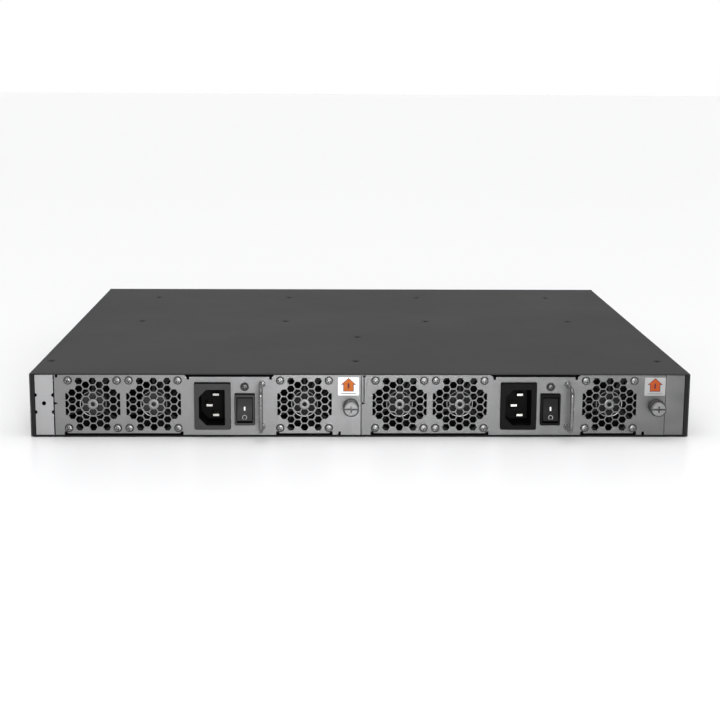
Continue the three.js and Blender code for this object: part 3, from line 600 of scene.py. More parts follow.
def rear_strip(side):
    """The fixed plate at one end of the rear, with the guide wall that runs forward from it."""
    node = f"rear_strip_{side}"
    lo, hi = low(node), high(node)
    sign = -1 if side == "left" else 1
    x_out = hi.x if sign > 0 else lo.x
    x_in = high("right_module_faceplate").x + 0.3 if sign > 0 else hi.x
    x0, x1 = sorted((x_in, x_out))
    sheet = plate(rectangle(x0, x1, lo.z, hi.z, 0.3), [], FACE_OUT, FACE_IN)
    wall_in, wall_out = sorted((x_in, x_in + sign * SHEET))
    wall = block(wall_in, wall_out, FACE_IN + 0.01, hi.y, lo.z, hi.z, 0.1)
    if sign < 0:
        nicks = [drill((x, z), 1.3) for x in (x0, x1) for z in NICK_HEIGHTS]
        hole = drill((x0 + 5.8, 22.9), 1.4)
        sheet = carved(sheet, joined(hole, *nicks))
        wall = carved(wall, joined(*nicks))
    shapes = [sheet, wall]
    if sign > 0:
        shapes.append(thumb_tab(x_in))
    sheet_metal = STRIP_SHEET if sign < 0 else ZINC_SHEETS["right"]
    piece(f"strip_{side}", joined(*shapes), "chassis", sheet_metal, stands_for=[node])


def thumb_tab(wall_x):
    """The tab on the right guide wall that the right module's thumbscrew enters."""
    screw = middle("right_thumbscrew")
    y0 = FACE_IN + 5
    sheet = rectangle(screw.x - 5, wall_x, screw.z - 6, screw.z + 6, 1.2)
    return plate(sheet, [circle(screw.x, screw.z, 2)], y0, y0 + 2)


# ----- module face plate
HEX_PITCH = 5.24
HEX_FLATS = 4.5
HEX_COLUMN = HEX_PITCH * math.cos(math.radians(30))
HEX_CORNER = 0.2
# For each column from the middle out: how many pitches its last cell is from the fan's centre.
HEX_REACH = (3, 2.5, 3, 1.5)
PILOT_R = 1.4


WIRE_R = 1.3  # of the pull handle
# Stretches of the plate's edge, from the middle of the plate.
FAN_SPANS = ((-94.8, -17.4), (46.2, 82.2))
POWER_SPAN = (-13.1, 41.8)
SLOT_SPAN = (86.3, 88.5)
RELIEF_W = 1.7


def half_cell(x, z, side):
    """The part of a cell on the fan's side of the vent's straight edge."""
    r = HEX_FLATS / math.sqrt(3)
    half = HEX_FLATS / 2
    inner = x - side * r / 2
    corners = [(x, z - half), (x, z + half), (inner, z + half), (x - side * r, z), (inner, z - half)]
    return rounded(corners, HEX_CORNER, 2)


def vent_holes(x, z):
    """The honeycomb over one fan, round a small pilot hole."""
    holes = [circle(x, z, PILOT_R, 20)]
    last = len(HEX_REACH) - 1
    for column in range(-last, last + 1):
        reach = HEX_REACH[abs(column)]
        for i in range(int(2 * reach) + 1):
            row = i - reach
            if column or row:
                centre = (x + column * HEX_COLUMN, z + row * HEX_PITCH)
                holes.append(hexagon(*centre, HEX_FLATS, HEX_CORNER))
    for side in (-1, 1):
        edge_x = x + side * (last + 1) * HEX_COLUMN
        holes += [half_cell(edge_x, z + row * HEX_PITCH, side) for row in (-1, 0, 1)]
    return holes


def face_outline(x0, x1, mid):
    """The plate's edge: raised under the fans, lowered over the power section, with a relief at each bend."""
    bottom, top = FACE_LOW, FACE_HIGH
    raised = bottom + 1.1
    lowered = top - 1.3
    power = [mid + reach for reach in POWER_SPAN]
    half = RELIEF_W / 2
    notch = raised + 1.3
    edge = [(x0, bottom)]
    for span in FAN_SPANS:
        a, b = [mid + reach for reach in span]
        edge += [(a - half, bottom), (a - half, notch), (a + half, notch), (a + half + 0.6, raised)]
        edge += [(b - half - 0.6, raised), (b - half, notch), (b + half, notch), (b + half, bottom)]
    slot = [mid + reach for reach in SLOT_SPAN]
    slot_top = bottom + 2.3
    edge += [(slot[0], bottom), (slot[0], slot_top), (slot[1], slot_top), (slot[1], bottom)]
    edge += [(x1, bottom), (x1, top)]
    edge += [(power[1] + 2.6, top), (power[1] + half, top - 1.4), (power[1] + half, lowered - 1.8)]
    edge += [(power[1] - half, lowered - 1.8), (power[1] - half, lowered)]
    edge += [(power[0] + half, lowered), (power[0] + half, lowered - 1.8)]
    edge += [(power[0] - half, lowered - 1.8), (power[0] - half, top - 1.4), (power[0] - 2.6, top)]
    edge += [(x0 + 2.4, top), (x0 + 2.3, top - 1.8), (x0 + 0.7, top - 1.8), (x0 + 0.7, top), (x0, top)]
    edge += [(x0, 23.7), (x0 + 2, 23.1), (x0 + 2, 22.7), (x0, 22.1)]
    return rounded(edge, 0.2, 2)


def cavity_outline(side, grow=0.0):
    """The keyed opening of the mains inlet, with two cut corners."""
    mid = middle(f"{side}_inlet_body")
    x, z = mid.x - 0.3, mid.z - 0.5
    half_w, half_h, cut = 8.65 + grow, 12.15 + grow, 5 + grow * 0.4
    x0, x1, z0, z1 = x - half_w, x + half_w, z - half_h, z + half_h
    corners = [(x0 + cut, z0), (x1, z0), (x1, z1), (x0 + cut, z1), (x0, z1 - cut), (x0, z0 + cut)]
    return rounded(corners, 0.7, 3)


def face_plate(side):
    node = f"{side}_module_faceplate"
    x0, x1 = low(node).x, high(node).x
    mid = (x0 + x1) / 2
    switch, thumb = middle(f"{side}_switch_body"), middle(f"{side}_thumbscrew")
    pull = f"{side}_pull_handle"
    foot_r = WIRE_R + 0.25
    holes = [
        cavity_outline(side, 1.9),
        rectangle(switch.x - 6.3, switch.x + 6.3, switch.z - 9.8, switch.z + 9.8, 0.5),
        circle(middle(pull).x, low(pull).z + WIRE_R, foot_r, 20),
        circle(middle(pull).x, high(pull).z - WIRE_R, foot_r, 20),
        circle(thumb.x, thumb.z, 3.6, 28),
    ]
    if side == "right":
        holes.append(rectangle(x0 + 1.2, x0 + 1.75, 23.9, FACE_HIGH - 2.4, 0.2, 2))
    for i in FANS:
        holes += vent_holes(middle(f"{side}_fan_{i}_frame").x, FAN_Z)
    sheet = plate(face_outline(x0, x1, mid), holes, FACE_OUT, FACE_IN, 0.06)
    piece(f"{side}_face_sheet", sheet, f"{side}_module", ZINC_SHEETS[side], stands_for=[node])
    fan_screws(side)


def fan_screws(side):
    """The four screws round each vent, and the embossed ring at its middle."""
    body = f"{side}_module"
    rim, core = pan_head(2.8, 1.7)
    rims, cores, rings = [], [], []
    half_pitch = 16.2
    emboss = [(1.45, 0), (1.5, -0.3), (1.8, -0.5), (3.0, -0.5), (3.45, -0.36), (3.65, 0)]
    emboss += [(3.65, 0.3), (1.45, 0.3)]
    ring = lathe(emboss, (0, FACE_OUT, 0), 32)
    for i in FANS:
        x = middle(f"{side}_fan_{i}_frame").x
        rings.append(moved(ring, (x, 0, FAN_Z)))
        for dx in (-half_pitch, half_pitch):
            for dz in (-half_pitch, half_pitch):
                place = (x + dx, SEATED, FAN_Z + dz, random.uniform(0, math.tau))
                rims.append(on_face(rim, *place))
                cores.append(on_face(core, *place))
    # Each head's rim is painted darker than its middle as shade, and the middle carries mottled painted
    # highlights.
    piece(f"{side}_fan_screws", joined(*rims), body, SCREW_ZINC)
    piece(f"{side}_fan_screw_recesses", joined(*cores), body, GLINTING_SCREW_CORE)
    piece(f"{side}_vent_eyelets", joined(*rings), body, ZINC_SHEETS[side])


# ----- fans
DUCT_R = 18.8
CUP_R = 8.5


def fan_frame(side, i):
    """Housing with two square flanges, a round duct, struts and a rimmed motor cup with its film label."""
    node = f"{side}_fan_{i}_frame"
    lo, hi, mid = low(node), high(node), middle(node)
    centre = (mid.x, 0, mid.z)
    corner, flange = 16.1, 3.4
    holes = [circle(mid.x, mid.z, DUCT_R, 48)]
    holes += [circle(mid.x + a * corner, mid.z + b * corner, 1.7, 16) for a in (-1, 1) for b in (-1, 1)]
    square = footprint(lo, hi, 2.4)
    duct = [(DUCT_R, lo.y + flange), (DUCT_R + 0.9, lo.y + flange)]
    duct += [(DUCT_R + 0.9, hi.y - flange), (DUCT_R, hi.y - flange)]
    cup = [(0, 0.5), (7.7, 0.5), (7.9, 0), (8.3, 0), (CUP_R, 0.4), (CUP_R, 3), (0, 3)]

    def spoke(angle, half_w, edge):
        bar = block(8.2, 19.1, lo.y + 0.7, lo.y + 2.8, -half_w, half_w, edge)
        return moved(bar, centre, Matrix.Rotation(math.radians(-angle), 4, "Y"))

    lead_way = spoke(62, 1.7, 0.3)
    shapes = [
        plate(square, holes, lo.y, lo.y + flange, 0.3),
        plate(square, holes, hi.y - flange, hi.y, 0.3),
        lathe(duct, centre, 48),
        lathe([(r, lo.y + h) for r, h in cup], centre, 48),
        *[spoke(angle, 0.9, 0.2) for angle in (90, 205, 325)],
        lead_way,
    ]
    body = f"{side}_module"
    piece(f"{side}_fan_{i}_housing", joined(*shapes), body, FAN_BLACK, stands_for=[node])

    disc = [(0, lo.y + 0.3), (7.3, lo.y + 0.3), (7.4, lo.y + 0.55), (0, lo.y + 0.55)]
    film = FAN_LABEL if side == "left" and i < 3 else DARK_FAN_LABEL
    piece(f"{side}_fan_{i}_label", lathe(disc, centre, 40), body, film)
    rim = [(8.45, lo.y - 0.15), (8.7, lo.y - 0.2), (8.9, lo.y + 0.1), (8.45, lo.y + 0.1)]
    piece(f"{side}_fan_{i}_rim", lathe(rim, centre, 48), body, STRIP_SHEET)


def blade(hub_r, tip_r, y0, y1):
    """One curved, twisted fan blade, drawn about the Y axis."""
    bm = bmesh.new()
    spans, chords = 6, 8
    rows = []
    for a in range(spans + 1):
        r = hub_r + (tip_r - hub_r) * a / spans
        row_top, row_low = [], []
        sweep = math.radians(64 - 12 * a / spans)
        for b in range(chords + 1):
            t = b / chords
            angle = sweep * (t - 0.5) + 0.16 * math.sin(math.pi * t)
            y = y0 + (y1 - y0) * t
            thick = 0.28 + 0.5 * math.sin(math.pi * min(t + 0.08, 1))
            x, z = r * math.cos(angle), r * math.sin(angle)
            tangent = Vector((-math.sin(angle), 0, math.cos(angle)))
            row_top.append(bm.verts.new(Vector((x, y, z)) + tangent * thick))
            row_low.append(bm.verts.new(Vector((x, y, z)) - tangent * thick))
        rows.append(row_top + row_low[::-1])
    count = len(rows[0])
    for near, far in zip(rows, rows[1:]):
        for k in range(count):
            bm.faces.new((near[k], near[(k + 1) % count], far[(k + 1) % count], far[k]))
    bm.faces.new(rows[0][::-1])
    bm.faces.new(rows[-1])
    return from_bmesh(bm)


def fan_rotor(side, i):
    node = f"{side}_fan_{i}_rotor"
    lo, hi = low(node), high(node)
    centre = (middle(f"{side}_fan_{i}_frame").x, 0, FAN_Z)
    hub = [(0, lo.y), (9.2, lo.y), (9.9, lo.y + 0.7), (9.9, hi.y - 1.5), (8.6, hi.y - 0.2), (0, hi.y)]
    one = blade(9.6, 17.9, lo.y + 1.2, hi.y - 1.2)
    blades = 7
    turns = [Matrix.Rotation(math.tau * k / blades, 4, "Y") for k in range(blades)]
    shapes = [lathe(hub, centre, 48), *[moved(one, centre, turn) for turn in turns]]
    piece(f"{side}_fan_{i}_impeller", joined(*shapes), f"{side}_fan_{i}", FAN_BLACK, stands_for=[node])


# ----- mains inlet and switch
# The flange keeps the moulding's own colour only in a front slice this deep; behind it the flange is painted
# near-black as shade.
RIM_T = 0.4
# Depth of the dark band behind the flange, which stands for a painted shadow along its top.
SHADOW_BAND_T = 1.2
SPLIT = 0.01  # between the slices of one moulding


def flanged_body(side, kind, corner, opening, shell, floor_y):
    """A moulding let into the face plate: a flange with a rim in the moulding's own colour, a band behind it
    and an open shell.

    The flange behind its rim, the band and the shell are painted near-black as shade, and the band shows most
    along its top, as a painted shadow.
    """
    node = f"{side}_{kind}_body"
    body = f"{side}_module"
    lo, hi = low(node), high(node)
    flange = footprint(lo, hi, corner)
    shadow_band = rectangle(lo.x - 0.2, hi.x + 0.2, lo.z - 0.15, hi.z + 0.6, 0.9)
    rim_y, shadow_band_y = lo.y + RIM_T, FACE_OUT - SHADOW_BAND_T
    rim = plate(flange, [opening], lo.y, rim_y)
    piece(f"{side}_{kind}_rim", rim, body, RIMS[side], stands_for=[node])
    shapes = [
        plate(flange, [opening], rim_y + SPLIT, shadow_band_y, 0.02),
        plate(shadow_band, [opening], shadow_band_y + SPLIT, SEATED, 0.02),
        plate(shell, [opening], SEATED + SPLIT, floor_y, 0.05),
        plate(shell, [], floor_y + SPLIT, hi.y, 0.1),
    ]
    piece(f"{side}_{kind}_shell", joined(*shapes), body, SHADE_BLACK_MOULDING)


def pin_blade(a, b, back):
    """A flat contact between two corners, whose free end is chamfered above and below."""
    above, below, run = 0.45, 0.15, 0.5
    profile = [(back, a.z), (a.y + 0.2, a.z), (a.y, a.z + below)]
    profile += [(a.y, b.z - above), (a.y + run, b.z), (back, b.z)]
    return extruded(profile, a.x, b.x)


def inlet(side):
    node = f"{side}_inlet_body"
    back_y = high(node).y - 2
    flanged_body(side, "inlet", 1.2, cavity_outline(side), cavity_outline(side, 1.4), back_y)
    for pin in ("line", "neutral", "earth"):
        pin_node = f"{side}_inlet_pin_{pin}"
        a, b = low(pin_node), high(pin_node)
        contact = pin_blade(a, b, back_y + 0.5)
        tail = block(a.x + 0.3, b.x - 0.3, back_y, b.y, a.z + 0.3, b.z - 0.3, 0.1)
        name = f"{side}_inlet_blade_{pin}"
        piece(name, joined(contact, tail), f"{side}_module", NICKEL, stands_for=[pin_node])


def rocker_switch(side):
    mid = middle(f"{side}_switch_body")

    def upright(half_w, half_h, radius):
        return rectangle(mid.x - half_w, mid.x + half_w, mid.z - half_h, mid.z + half_h, radius)

    flanged_body(side, "switch", 0.9, upright(5.4, 8.75, 0.3), upright(6, 9.5, 0.4), FACE_OUT + 9)
    paddle(side, mid)


ROCK = math.radians(10)


def paddle(side, mid):
    """The rocking button with its two marks, drawn level and then tilted so that its upper end is in."""
    pivot = Vector((mid.x, FACE_OUT + 1, mid.z))
    tilt = Matrix.Rotation(-ROCK, 4, "X")
    half_w, end = 5.1, 7.9
    upper_end = end - 0.6
    waist, crest = -3.1, 1.1
    rise = 9
    front = []
    for k in range(-rise, rise + 1):
        t = k / rise
        front.append((waist - crest * abs(t) ** 1.4, (upper_end if k > 0 else end) * t))
    profile = [*front, (-0.8, upper_end), (4.4, 3.1), (4.4, -3.1), (-0.8, -end)]
    body = f"{side}_rocker"
    shape = moved(extruded(profile, -half_w, half_w), pivot, tilt)
    node = f"{side}_switch_rocker"
    piece(f"{side}_paddle", shape, body, ROCKERS[side], bevel=0.25, stands_for=[node])

    def face_y(z):
        return waist - crest * abs(z / end) ** 1.4

    bar_z, ring_z = 0.3, -5.5
    bar = block(-0.5, 0.5, face_y(1.6) - 0.06, face_y(bar_z) + 0.2, bar_z - 1.3, bar_z + 1.3, 0.05)
    ring = lathe([(1.15, -0.22), (1.65, -0.22), (1.65, 0.3), (1.15, 0.3)], (0, face_y(ring_z), ring_z), 28)
    piece(f"{side}_paddle_on_mark", moved(bar, pivot, tilt), body, WHITE_INK)
    piece(f"{side}_paddle_off_mark", moved(ring, pivot, tilt), body, FAINT_INK)


# ----- handle, thumbscrew, small screw, label
def handle(side):
    node = f"{side}_pull_handle"
    lo, hi, mid = low(node), high(node), middle(node)
    bend, steps = 4.5, 7
    z0, z1 = lo.z + WIRE_R, hi.z - WIRE_R
    y0 = lo.y + WIRE_R
    foot = FACE_IN + 0.6

    def arc(cy, cz, start):
        angles = [math.radians(start + 90 * k / steps) for k in range(steps + 1)]
        return [(mid.x, cy - bend * math.cos(a), cz - bend * math.sin(a)) for a in angles]

    path = [(mid.x, foot, z0)]
    path += [(mid.x, p[1], p[2]) for p in reversed(arc(y0 + bend, z0 + bend, 0))]
    path += [(mid.x, p[1], 2 * (z1 - bend) - p[2]) for p in arc(y0 + bend, z1 - bend, 0)]
    path += [(mid.x, foot, z1)]
    shapes = [tube(path, WIRE_R, 20)]
    collar = [(1.35, -0.55), (1.9, -0.55), (2.3, -0.25), (2.3, 0), (1.35, 0)]
    shapes += [lathe(collar, (mid.x, FACE_OUT - 0.01, z), 28) for z in (z0, z1)]
    rivet = [(0, 0), (2.3, 0), (2.3, 0.6), (1.2, 1), (0, 1)]
    shapes += [lathe(rivet, (mid.x, FACE_IN + 0.3, z), 24) for z in (z0, z1)]
    piece(f"{side}_handle_wire", joined(*shapes), f"{side}_module", HANDLE_ZINC, stands_for=[node])


TEETH = 44
TOOTH_DEPTH = 0.22


def knurled_knob(r, tip, length):
    """The knob and the neck behind it, turned about Y, with teeth round its widest part."""
    knob = [(0, 0.5), (2.2, 0.5), (r - 0.9, 0.5), (r - 0.35, 0.6), (r, 1.0), (r, 6.6), (r - 0.35, 7.1)]
    neck = [(r - 1.3, 7.9), (r - 1.3, 8.5), (2.0, 8.9), (2.0, 10), (1.6, 10.4), (1.6, length - 0.6)]
    neck += [(1.1, length), (0, length)]
    bm = bmesh.new()
    rings = []
    for radius, height in knob + neck:
        if not radius:
            rings.append([bm.verts.new((0, tip + height, 0))])
            continue
        crests = circle(0, 0, radius, 2 * TEETH)
        roots = circle(0, 0, radius - TOOTH_DEPTH, 2 * TEETH) if radius == r else crests
        places = [roots[k] if k % 2 else crests[k] for k in range(2 * TEETH)]
        rings.append([bm.verts.new((x, tip + height, z)) for x, z in places])
    skin(bm, rings)
    return from_bmesh(bm)


def thumbscrew(side):
    """The knob with a slot and a cross recess, its face, and the ring that holds it in the plate. The knob's
    side and the ring are painted darker than the face as shade.
    """
    node = f"{side}_thumbscrew"
    lo, hi, mid = low(node), high(node), middle(node)
    r, tip = (hi.x - lo.x) / 2, lo.y
    slot = block(-r - 1, r + 1, tip - 1, tip + 1.3, -0.55, 0.55)
    deep = block(-0.5, 0.5, tip - 1, tip + 2.2, -2.1, 2.1)
    wide = block(-2.1, 2.1, tip - 1, tip + 2.2, -0.6, 0.6)
    cap = [(0, tip), (2.2, tip), (r - 1.1, tip + 0.05), (r - 0.75, tip + 0.48), (0, tip + 0.48)]
    at = (mid.x, 0, mid.z)
    body = f"{side}_thumbscrew_body"
    knob = moved(carved(knurled_knob(r, tip, hi.y - tip), slot, deep, wide), at)
    face = moved(carved(lathe(cap, (0, 0, 0), 56), slot, deep, wide), at)
    piece(f"{side}_thumb_knob", knob, body, SHADED_DARK_ZINC, stands_for=[node])
    piece(f"{side}_thumb_knob_face", face, body, KNOB_FACE)
    inner_end = FACE_T + 1.4
    ring = [(2.3, -2.9), (3.5, -2.9), (3.9, -2.6), (4.9, -1.2), (4.9, -0.02), (3.5, 0)]
    ring += [(3.5, inner_end), (2.3, inner_end)]
    shape = lathe(ring, (mid.x, FACE_OUT, mid.z), 48)
    piece(f"{side}_thumb_ring", shape, f"{side}_module", SHADED_DARK_ZINC)


def earth_screw(side):
    node = f"{side}_earth_screw"
    mid = middle(node)
    place = (mid.x, FACE_OUT - 0.5, mid.z, 0.5)
    rim, core = (on_face(shape, *place) for shape in pan_head(2.5, 1.7))
    washer = lathe([(1.7, -0.5), (2.95, -0.5), (2.95, 0), (1.7, 0)], (mid.x, FACE_OUT - 0.01, mid.z), 32)
    shank = lathe([(0, -0.4), (1.5, -0.4), (1.5, 7.5), (1.1, 8), (0, 8)], (mid.x, FACE_OUT, mid.z), 20)
    body = f"{side}_module"
    head = joined(rim, washer, shank)
    # The rim and washer are painted darker than the middle of the head as shade.
    piece(f"{side}_earth_screw_head", head, body, SHADED_DARK_STEEL, stands_for=[node])
    piece(f"{side}_earth_screw_recess", core, body, SCREW_ZINC)


def airflow_label(side):
    """A film label with an upward arrow and a plain rule, without words."""
    node = f"{side}_airflow_label"
    lo, hi, mid = low(node), high(node), middle(node)
    body = f"{side}_module"
    back = FACE_OUT - 0.01
    film = plate(footprint(lo, hi, 0.8), [], back - 0.12, back, 0.03)
    piece(f"{side}_label_film", film, body, FILMS[side], stands_for=[node])

    top, shoulder, foot = hi.z - 0.9, hi.z - 4.6, lo.z + 3.2
    wing, stem = 4.3, 3.1

    def arrow(grow):
        return [
            (mid.x - stem - grow, foot - grow), (mid.x + stem + grow, foot - grow),
            (mid.x + stem + grow, shoulder - grow), (mid.x + wing + 2.2 * grow, shoulder - grow),
            (mid.x, top + 1.3 * grow), (mid.x - wing - 2.2 * grow, shoulder - grow),
            (mid.x - stem - grow, shoulder - grow),
        ]

    print_out, print_in = back - 0.15, back - 0.1
    filled = plate(arrow(0), [], print_out, print_in, 0.01)
    rim = plate(arrow(0.4), [arrow(0)], print_out, print_in, 0.01)
    core = block(mid.x - 0.55, mid.x + 0.55, print_out - 0.02, print_in, foot + 1.7, shoulder + 0.6)
    rule = block(mid.x - 5, mid.x + 5, print_out, print_in, lo.z + 1.1, lo.z + 1.7)
    piece(f"{side}_label_arrow", filled, body, ORANGES[side])
    piece(f"{side}_label_outline", joined(rim, core), body, DARK_INK)
    piece(f"{side}_label_rule", rule, body, FAINT_INK)


# ----- port side
PORT_SIDE_VENTS = ((100, 203), (-208, -168))


def port_side_vent(x0, x1):
    """A honeycomb between two places along the front panel."""
    pitch, flats, rows, lowest = 6.4, 5.2, 5, 6.4
    column_pitch = pitch * math.cos(math.radians(30))
    holes = []
    for column in range(int((x1 - x0) / column_pitch) + 1):
        odd = column % 2
        for row in range(rows + 1 - odd):
            x = x0 + column * column_pitch
            holes.append(hexagon(x, lowest + odd * pitch / 2 + row * pitch, flats, 0.45))
    return holes


def front_panel():
    lo, hi = low("front_panel"), high("front_panel")
    holes = [hole for span in PORT_SIDE_VENTS for hole in port_side_vent(*span)]
    for node in ("port_cage_1", "port_cage_2", "management_jack_1", "management_jack_2", "usb_jack"):
        holes.append(footprint(low(node), high(node), 0.4, 0.4))
    lens_z = middle("status_light_bar").z
    holes += [circle(x, lens_z, 1.25, 20) for x in lens_places()]
    sheet = plate(footprint(lo, hi, 0.6), holes, lo.y, hi.y, 0.2)
    piece("port_side_panel", sheet, "chassis", POWDER, stands_for=["front_panel"])


def lens_places():
    a, b = low("status_light_bar").x + 3, high("status_light_bar").x - 3
    count = 6
    return [a + (b - a) * k / (count - 1) for k in range(count)]


def light_bar():
    """Six small domed lenses on a bar behind the panel."""
    node = "status_light_bar"
    lo, hi, mid = low(node), high(node), middle(node)
    back = block(lo.x, hi.x, lo.y, FRONT - 1.7, lo.z, hi.z, 0.3)
    dome = [(0, 0.6), (0.7, 0.5), (1.05, 0.2), (1.1, -2), (0, -2)]
    lenses = [lathe(dome, (x, FRONT, mid.z), 20) for x in lens_places()]
    piece("status_lenses", joined(back, *lenses), "chassis", LIGHT_PIPE, stands_for=[node])


PORT_W, PORT_H = 13.4, 8.8
PORT_PITCH, PORT_ROW = 14.6, 12.0
PORT_COLUMNS = 4


def port_cage(i):
    """A stacked cage of two rows with spring fingers round its mouth and a contact block inside each bay."""
    node = f"port_cage_{i}"
    lo, hi, mid = low(node), high(node), middle(node)
    columns = [mid.x + (k - (PORT_COLUMNS - 1) / 2) * PORT_PITCH for k in range(PORT_COLUMNS)]
    mouths = [(x, mid.z + row * PORT_ROW) for x in columns for row in (-0.5, 0.5)]
    half_w, half_h = PORT_W / 2, PORT_H / 2
    holes = [rectangle(x - half_w, x + half_w, z - half_h, z + half_h, 0.4) for x, z in mouths]
    rim = footprint(lo, hi, 0.5)
    shapes = [plate(rim, holes, lo.y + 2, hi.y), plate(rim, [], lo.y, lo.y + 1.99, 0.1)]
    finger_w, gap, margin = 1.5, 0.7, 2
    for k in range(int((hi.x - lo.x - 2 * margin) / (finger_w + gap))):
        x = lo.x + margin + k * (finger_w + gap)
        for z in (hi.z - 0.1, lo.z - 0.3):
            shapes.append(block(x, x + finger_w, hi.y - 4.5, hi.y - 0.2, z, z + 0.4, 0.08))
    piece(f"cage_{i}", joined(*shapes), "chassis", NICKEL, stands_for=[node])
    inserts, contacts = [], []
    y = lo.y + 2.02
    for x, z in mouths:
        inserts.append(block(x - 5.6, x + 5.6, y, y + 7, z - 3.2, z + 3.4, 0.2))
        for k in range(10):
            cx = x - 3.6 + k * 0.8
            contacts.append(block(cx - 0.15, cx + 0.15, y + 6.9, y + 8.6, z - 0.5, z - 0.2))
    piece(f"cage_{i}_inserts", joined(*inserts), "chassis", BLACK)
    piece(f"cage_{i}_contacts", joined(*contacts), "chassis", GOLD)


def network_jack(i):
    """A metal can round an insert with a stepped mouth, eight contacts and two lights."""
    node = f"management_jack_{i}"
    lo, hi, mid = low(node), high(node), middle(node)
    wall, key = 1.6, 3.4
    left, right = lo.x + wall, hi.x - wall
    sill, step, roof = lo.z + wall, lo.z + wall + 1.8, hi.z - wall - 1.4
    mouth = [(left, step), (mid.x - key, step), (mid.x - key, sill), (mid.x + key, sill)]
    mouth += [(mid.x + key, step), (right, step), (right, roof), (left, roof)]
    can = plate(footprint(lo, hi, 0.4), [footprint(lo, hi, 0.3, -0.5)], lo.y, hi.y, 0.1)
    piece(f"jack_{i}_can", can, "chassis", NICKEL, stands_for=[node])
    inner = footprint(lo, hi, 0.3, -0.55)
    front = plate(inner, [mouth], lo.y + 4, hi.y - 0.3, 0.08)
    back = plate(inner, [], lo.y + 0.2, lo.y + 3.99, 0.1)
    piece(f"jack_{i}_insert", joined(front, back), "chassis", BLACK)
    lean = Matrix.Rotation(math.radians(28), 4, "X")
    contact_z = roof - 2.2
    contacts = []
    for k in range(8):
        x = mid.x + (k - 3.5) * 1.02
        contacts.append(block(x - 0.2, x + 0.2, lo.y + 5, lo.y + 15, contact_z, contact_z + 0.3, turn=lean))
    piece(f"jack_{i}_contacts", joined(*contacts), "chassis", GOLD)
    windows = [
        block(x - 1.4, x + 1.4, hi.y - 0.9, hi.y - 0.1, hi.z - 2.1, hi.z - 0.8, 0.15)
        for x in (lo.x + 3, hi.x - 3)
    ]
    piece(f"jack_{i}_lights", joined(*windows), "chassis", LIGHT_PIPE)


def serial_jack():
    lo, hi, mid = low("usb_jack"), high("usb_jack"), middle("usb_jack")
    rim, mouth = footprint(lo, hi, 0.5), footprint(lo, hi, 0.3, -0.6)
    shell = joined(plate(rim, [mouth], lo.y + 1, hi.y), plate(rim, [], lo.y, lo.y + 0.99, 0.1))
    piece("usb_shell", shell, "chassis", NICKEL, stands_for=["usb_jack"])
    tongue = block(mid.x - 2.6, mid.x - 0.8, lo.y + 1.02, hi.y - 2, mid.z - 5.2, mid.z + 5.2, 0.2)
    piece("usb_tongue", tongue, "chassis", BLACK)


# ----- nodes that keep their CAD shape
KEPT = {
    "base_pan": DARK_POWDER,
    # the divider is painted dark as the shade in the seam between the modules
    "bay_divider": SHADED_DARK_ZINC,
    "main_board": BOARD,
    "midplane_board": BOARD,
    "midplane_socket_left": BLACK,
    "midplane_socket_right": BLACK,
    "switch_heatsink": ALUMINIUM,
    "processor_heatsink": ALUMINIUM,
}
KEPT_IN_MODULE = {
    "module_tray": ZINC_SHEETS["left"],
    "power_housing": ZINC_SHEETS["left"],
    "power_board": BOARD,
    "module_plug": BLACK,
}

for kept_node, kept_material in KEPT.items():
    dress(kept_node, kept_material)
top_cover()
front_panel()
light_bar()
serial_jack()
for number in (1, 2):
    port_cage(number)
    network_jack(number)
for hand in SIDES:
    rear_strip(hand)
    face_plate(hand)
    for number in FANS:
        fan_frame(hand, number)
        fan_rotor(hand, number)
    inlet(hand)
    rocker_switch(hand)
    handle(hand)
    thumbscrew(hand)
    earth_screw(hand)
    airflow_label(hand)
    for kept_node, kept_material in KEPT_IN_MODULE.items():
        dress(f"{hand}_{kept_node}", kept_material)


# ----- floor, light and camera
def floor():
    mesh = bpy.data.meshes.new("floor")
    reach = 12.0
    corners = [(-reach, -reach, 0), (reach, -reach, 0), (reach, reach, 0), (-reach, reach, 0)]
    mesh.from_pydata(corners, [], [(0, 1, 2, 3)])
    obj = bpy.data.objects.new("floor", mesh)
    bpy.context.scene.collection.objects.link(obj)
    pale = surface("studio_floor", greys(0.86, 0.88), (0.3, 0.36), 0.0, 1.5, 300, 0.002, specular=0.3)
    mesh.materials.append(pale)


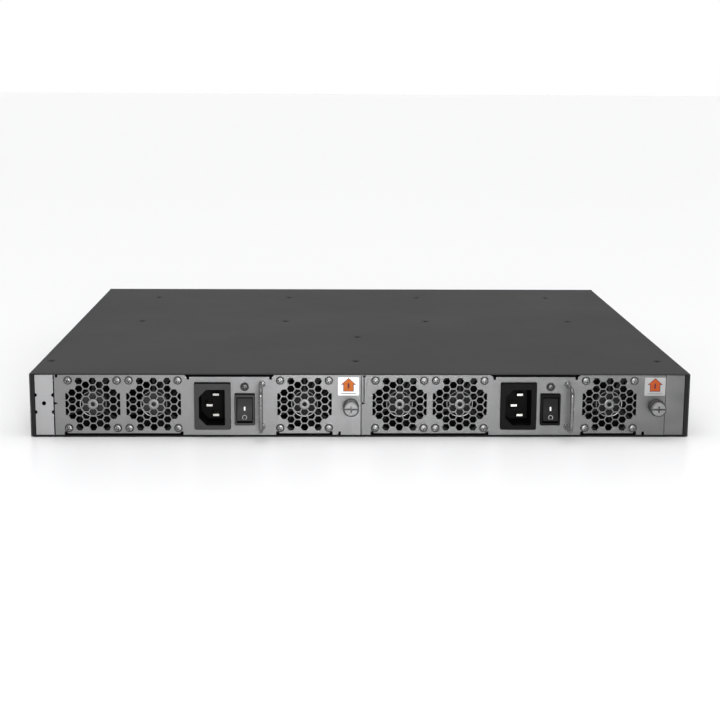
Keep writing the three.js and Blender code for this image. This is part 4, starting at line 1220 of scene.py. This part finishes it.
def lamp(name, place, aim, width, depth, power):
    data = bpy.data.lights.new(name, "AREA")
    data.shape = "RECTANGLE"
    data.size, data.size_y = width, depth
    data.energy = power
    obj = bpy.data.objects.new(name, data)
    bpy.context.scene.collection.objects.link(obj)
    obj.location = place
    obj.rotation_euler = (Vector(aim) - Vector(place)).to_track_quat("-Z", "Y").to_euler()
    obj.visible_camera = False


def studio_world():
    """A white horizon, a softer band above it and a bright patch overhead, the same all the way round."""
    world = bpy.data.worlds.new("studio")
    world.use_nodes = True
    bpy.context.scene.world = world
    nodes, links = world.node_tree.nodes, world.node_tree.links
    coords = nodes.new("ShaderNodeTexCoord")
    parts = nodes.new("ShaderNodeSeparateXYZ")
    ramp = nodes.new("ShaderNodeValToRGB")
    links.new(coords.outputs["Generated"], parts.inputs[0])
    links.new(parts.outputs["Z"], ramp.inputs[0])
    stops = [(0.0, 0.50), (0.14, 0.50), (0.34, 0.31), (0.72, 0.34), (0.9, 1.0)]
    elements = ramp.color_ramp.elements
    while len(elements) < len(stops):
        elements.new(0.5)
    for element, (place, value) in zip(elements, stops):
        element.position = place
        element.color = (value, value, value, 1)
    links.new(ramp.outputs[0], nodes["Background"].inputs["Color"])
    nodes["Background"].inputs["Strength"].default_value = 2.0


def camera():
    """Looks at the rear face from slightly above and to the left of its middle."""
    yaw, pitch, roll = (math.radians(a) for a in (1.323, 11.107, 0.322))
    ahead = Vector((math.sin(yaw) * math.cos(pitch), math.cos(yaw) * math.cos(pitch), -math.sin(pitch)))
    right = Vector((math.cos(yaw), -math.sin(yaw), 0))
    up = right.cross(ahead)
    rolled_right = right * math.cos(roll) + up * math.sin(roll)
    rolled_up = up * math.cos(roll) - right * math.sin(roll)
    data = bpy.data.cameras.new("camera")
    data.lens, data.sensor_width = 75, 36
    obj = bpy.data.objects.new("camera", data)
    bpy.context.scene.collection.objects.link(obj)
    stand = Vector((-0.0235, REAR * MM - 0.9764, 0.2443))
    axes = Matrix((rolled_right, rolled_up, -ahead)).transposed()
    obj.matrix_world = Matrix.Translation(stand) @ axes.to_4x4()
    bpy.context.scene.camera = obj


floor()
studio_world()
lamp("front_light", (0.08, -1.25, 0.20), (0.05, -0.19, 0.02), 0.20, 0.26, 7)
camera()
bpy.context.scene.view_settings.view_transform = "Standard"
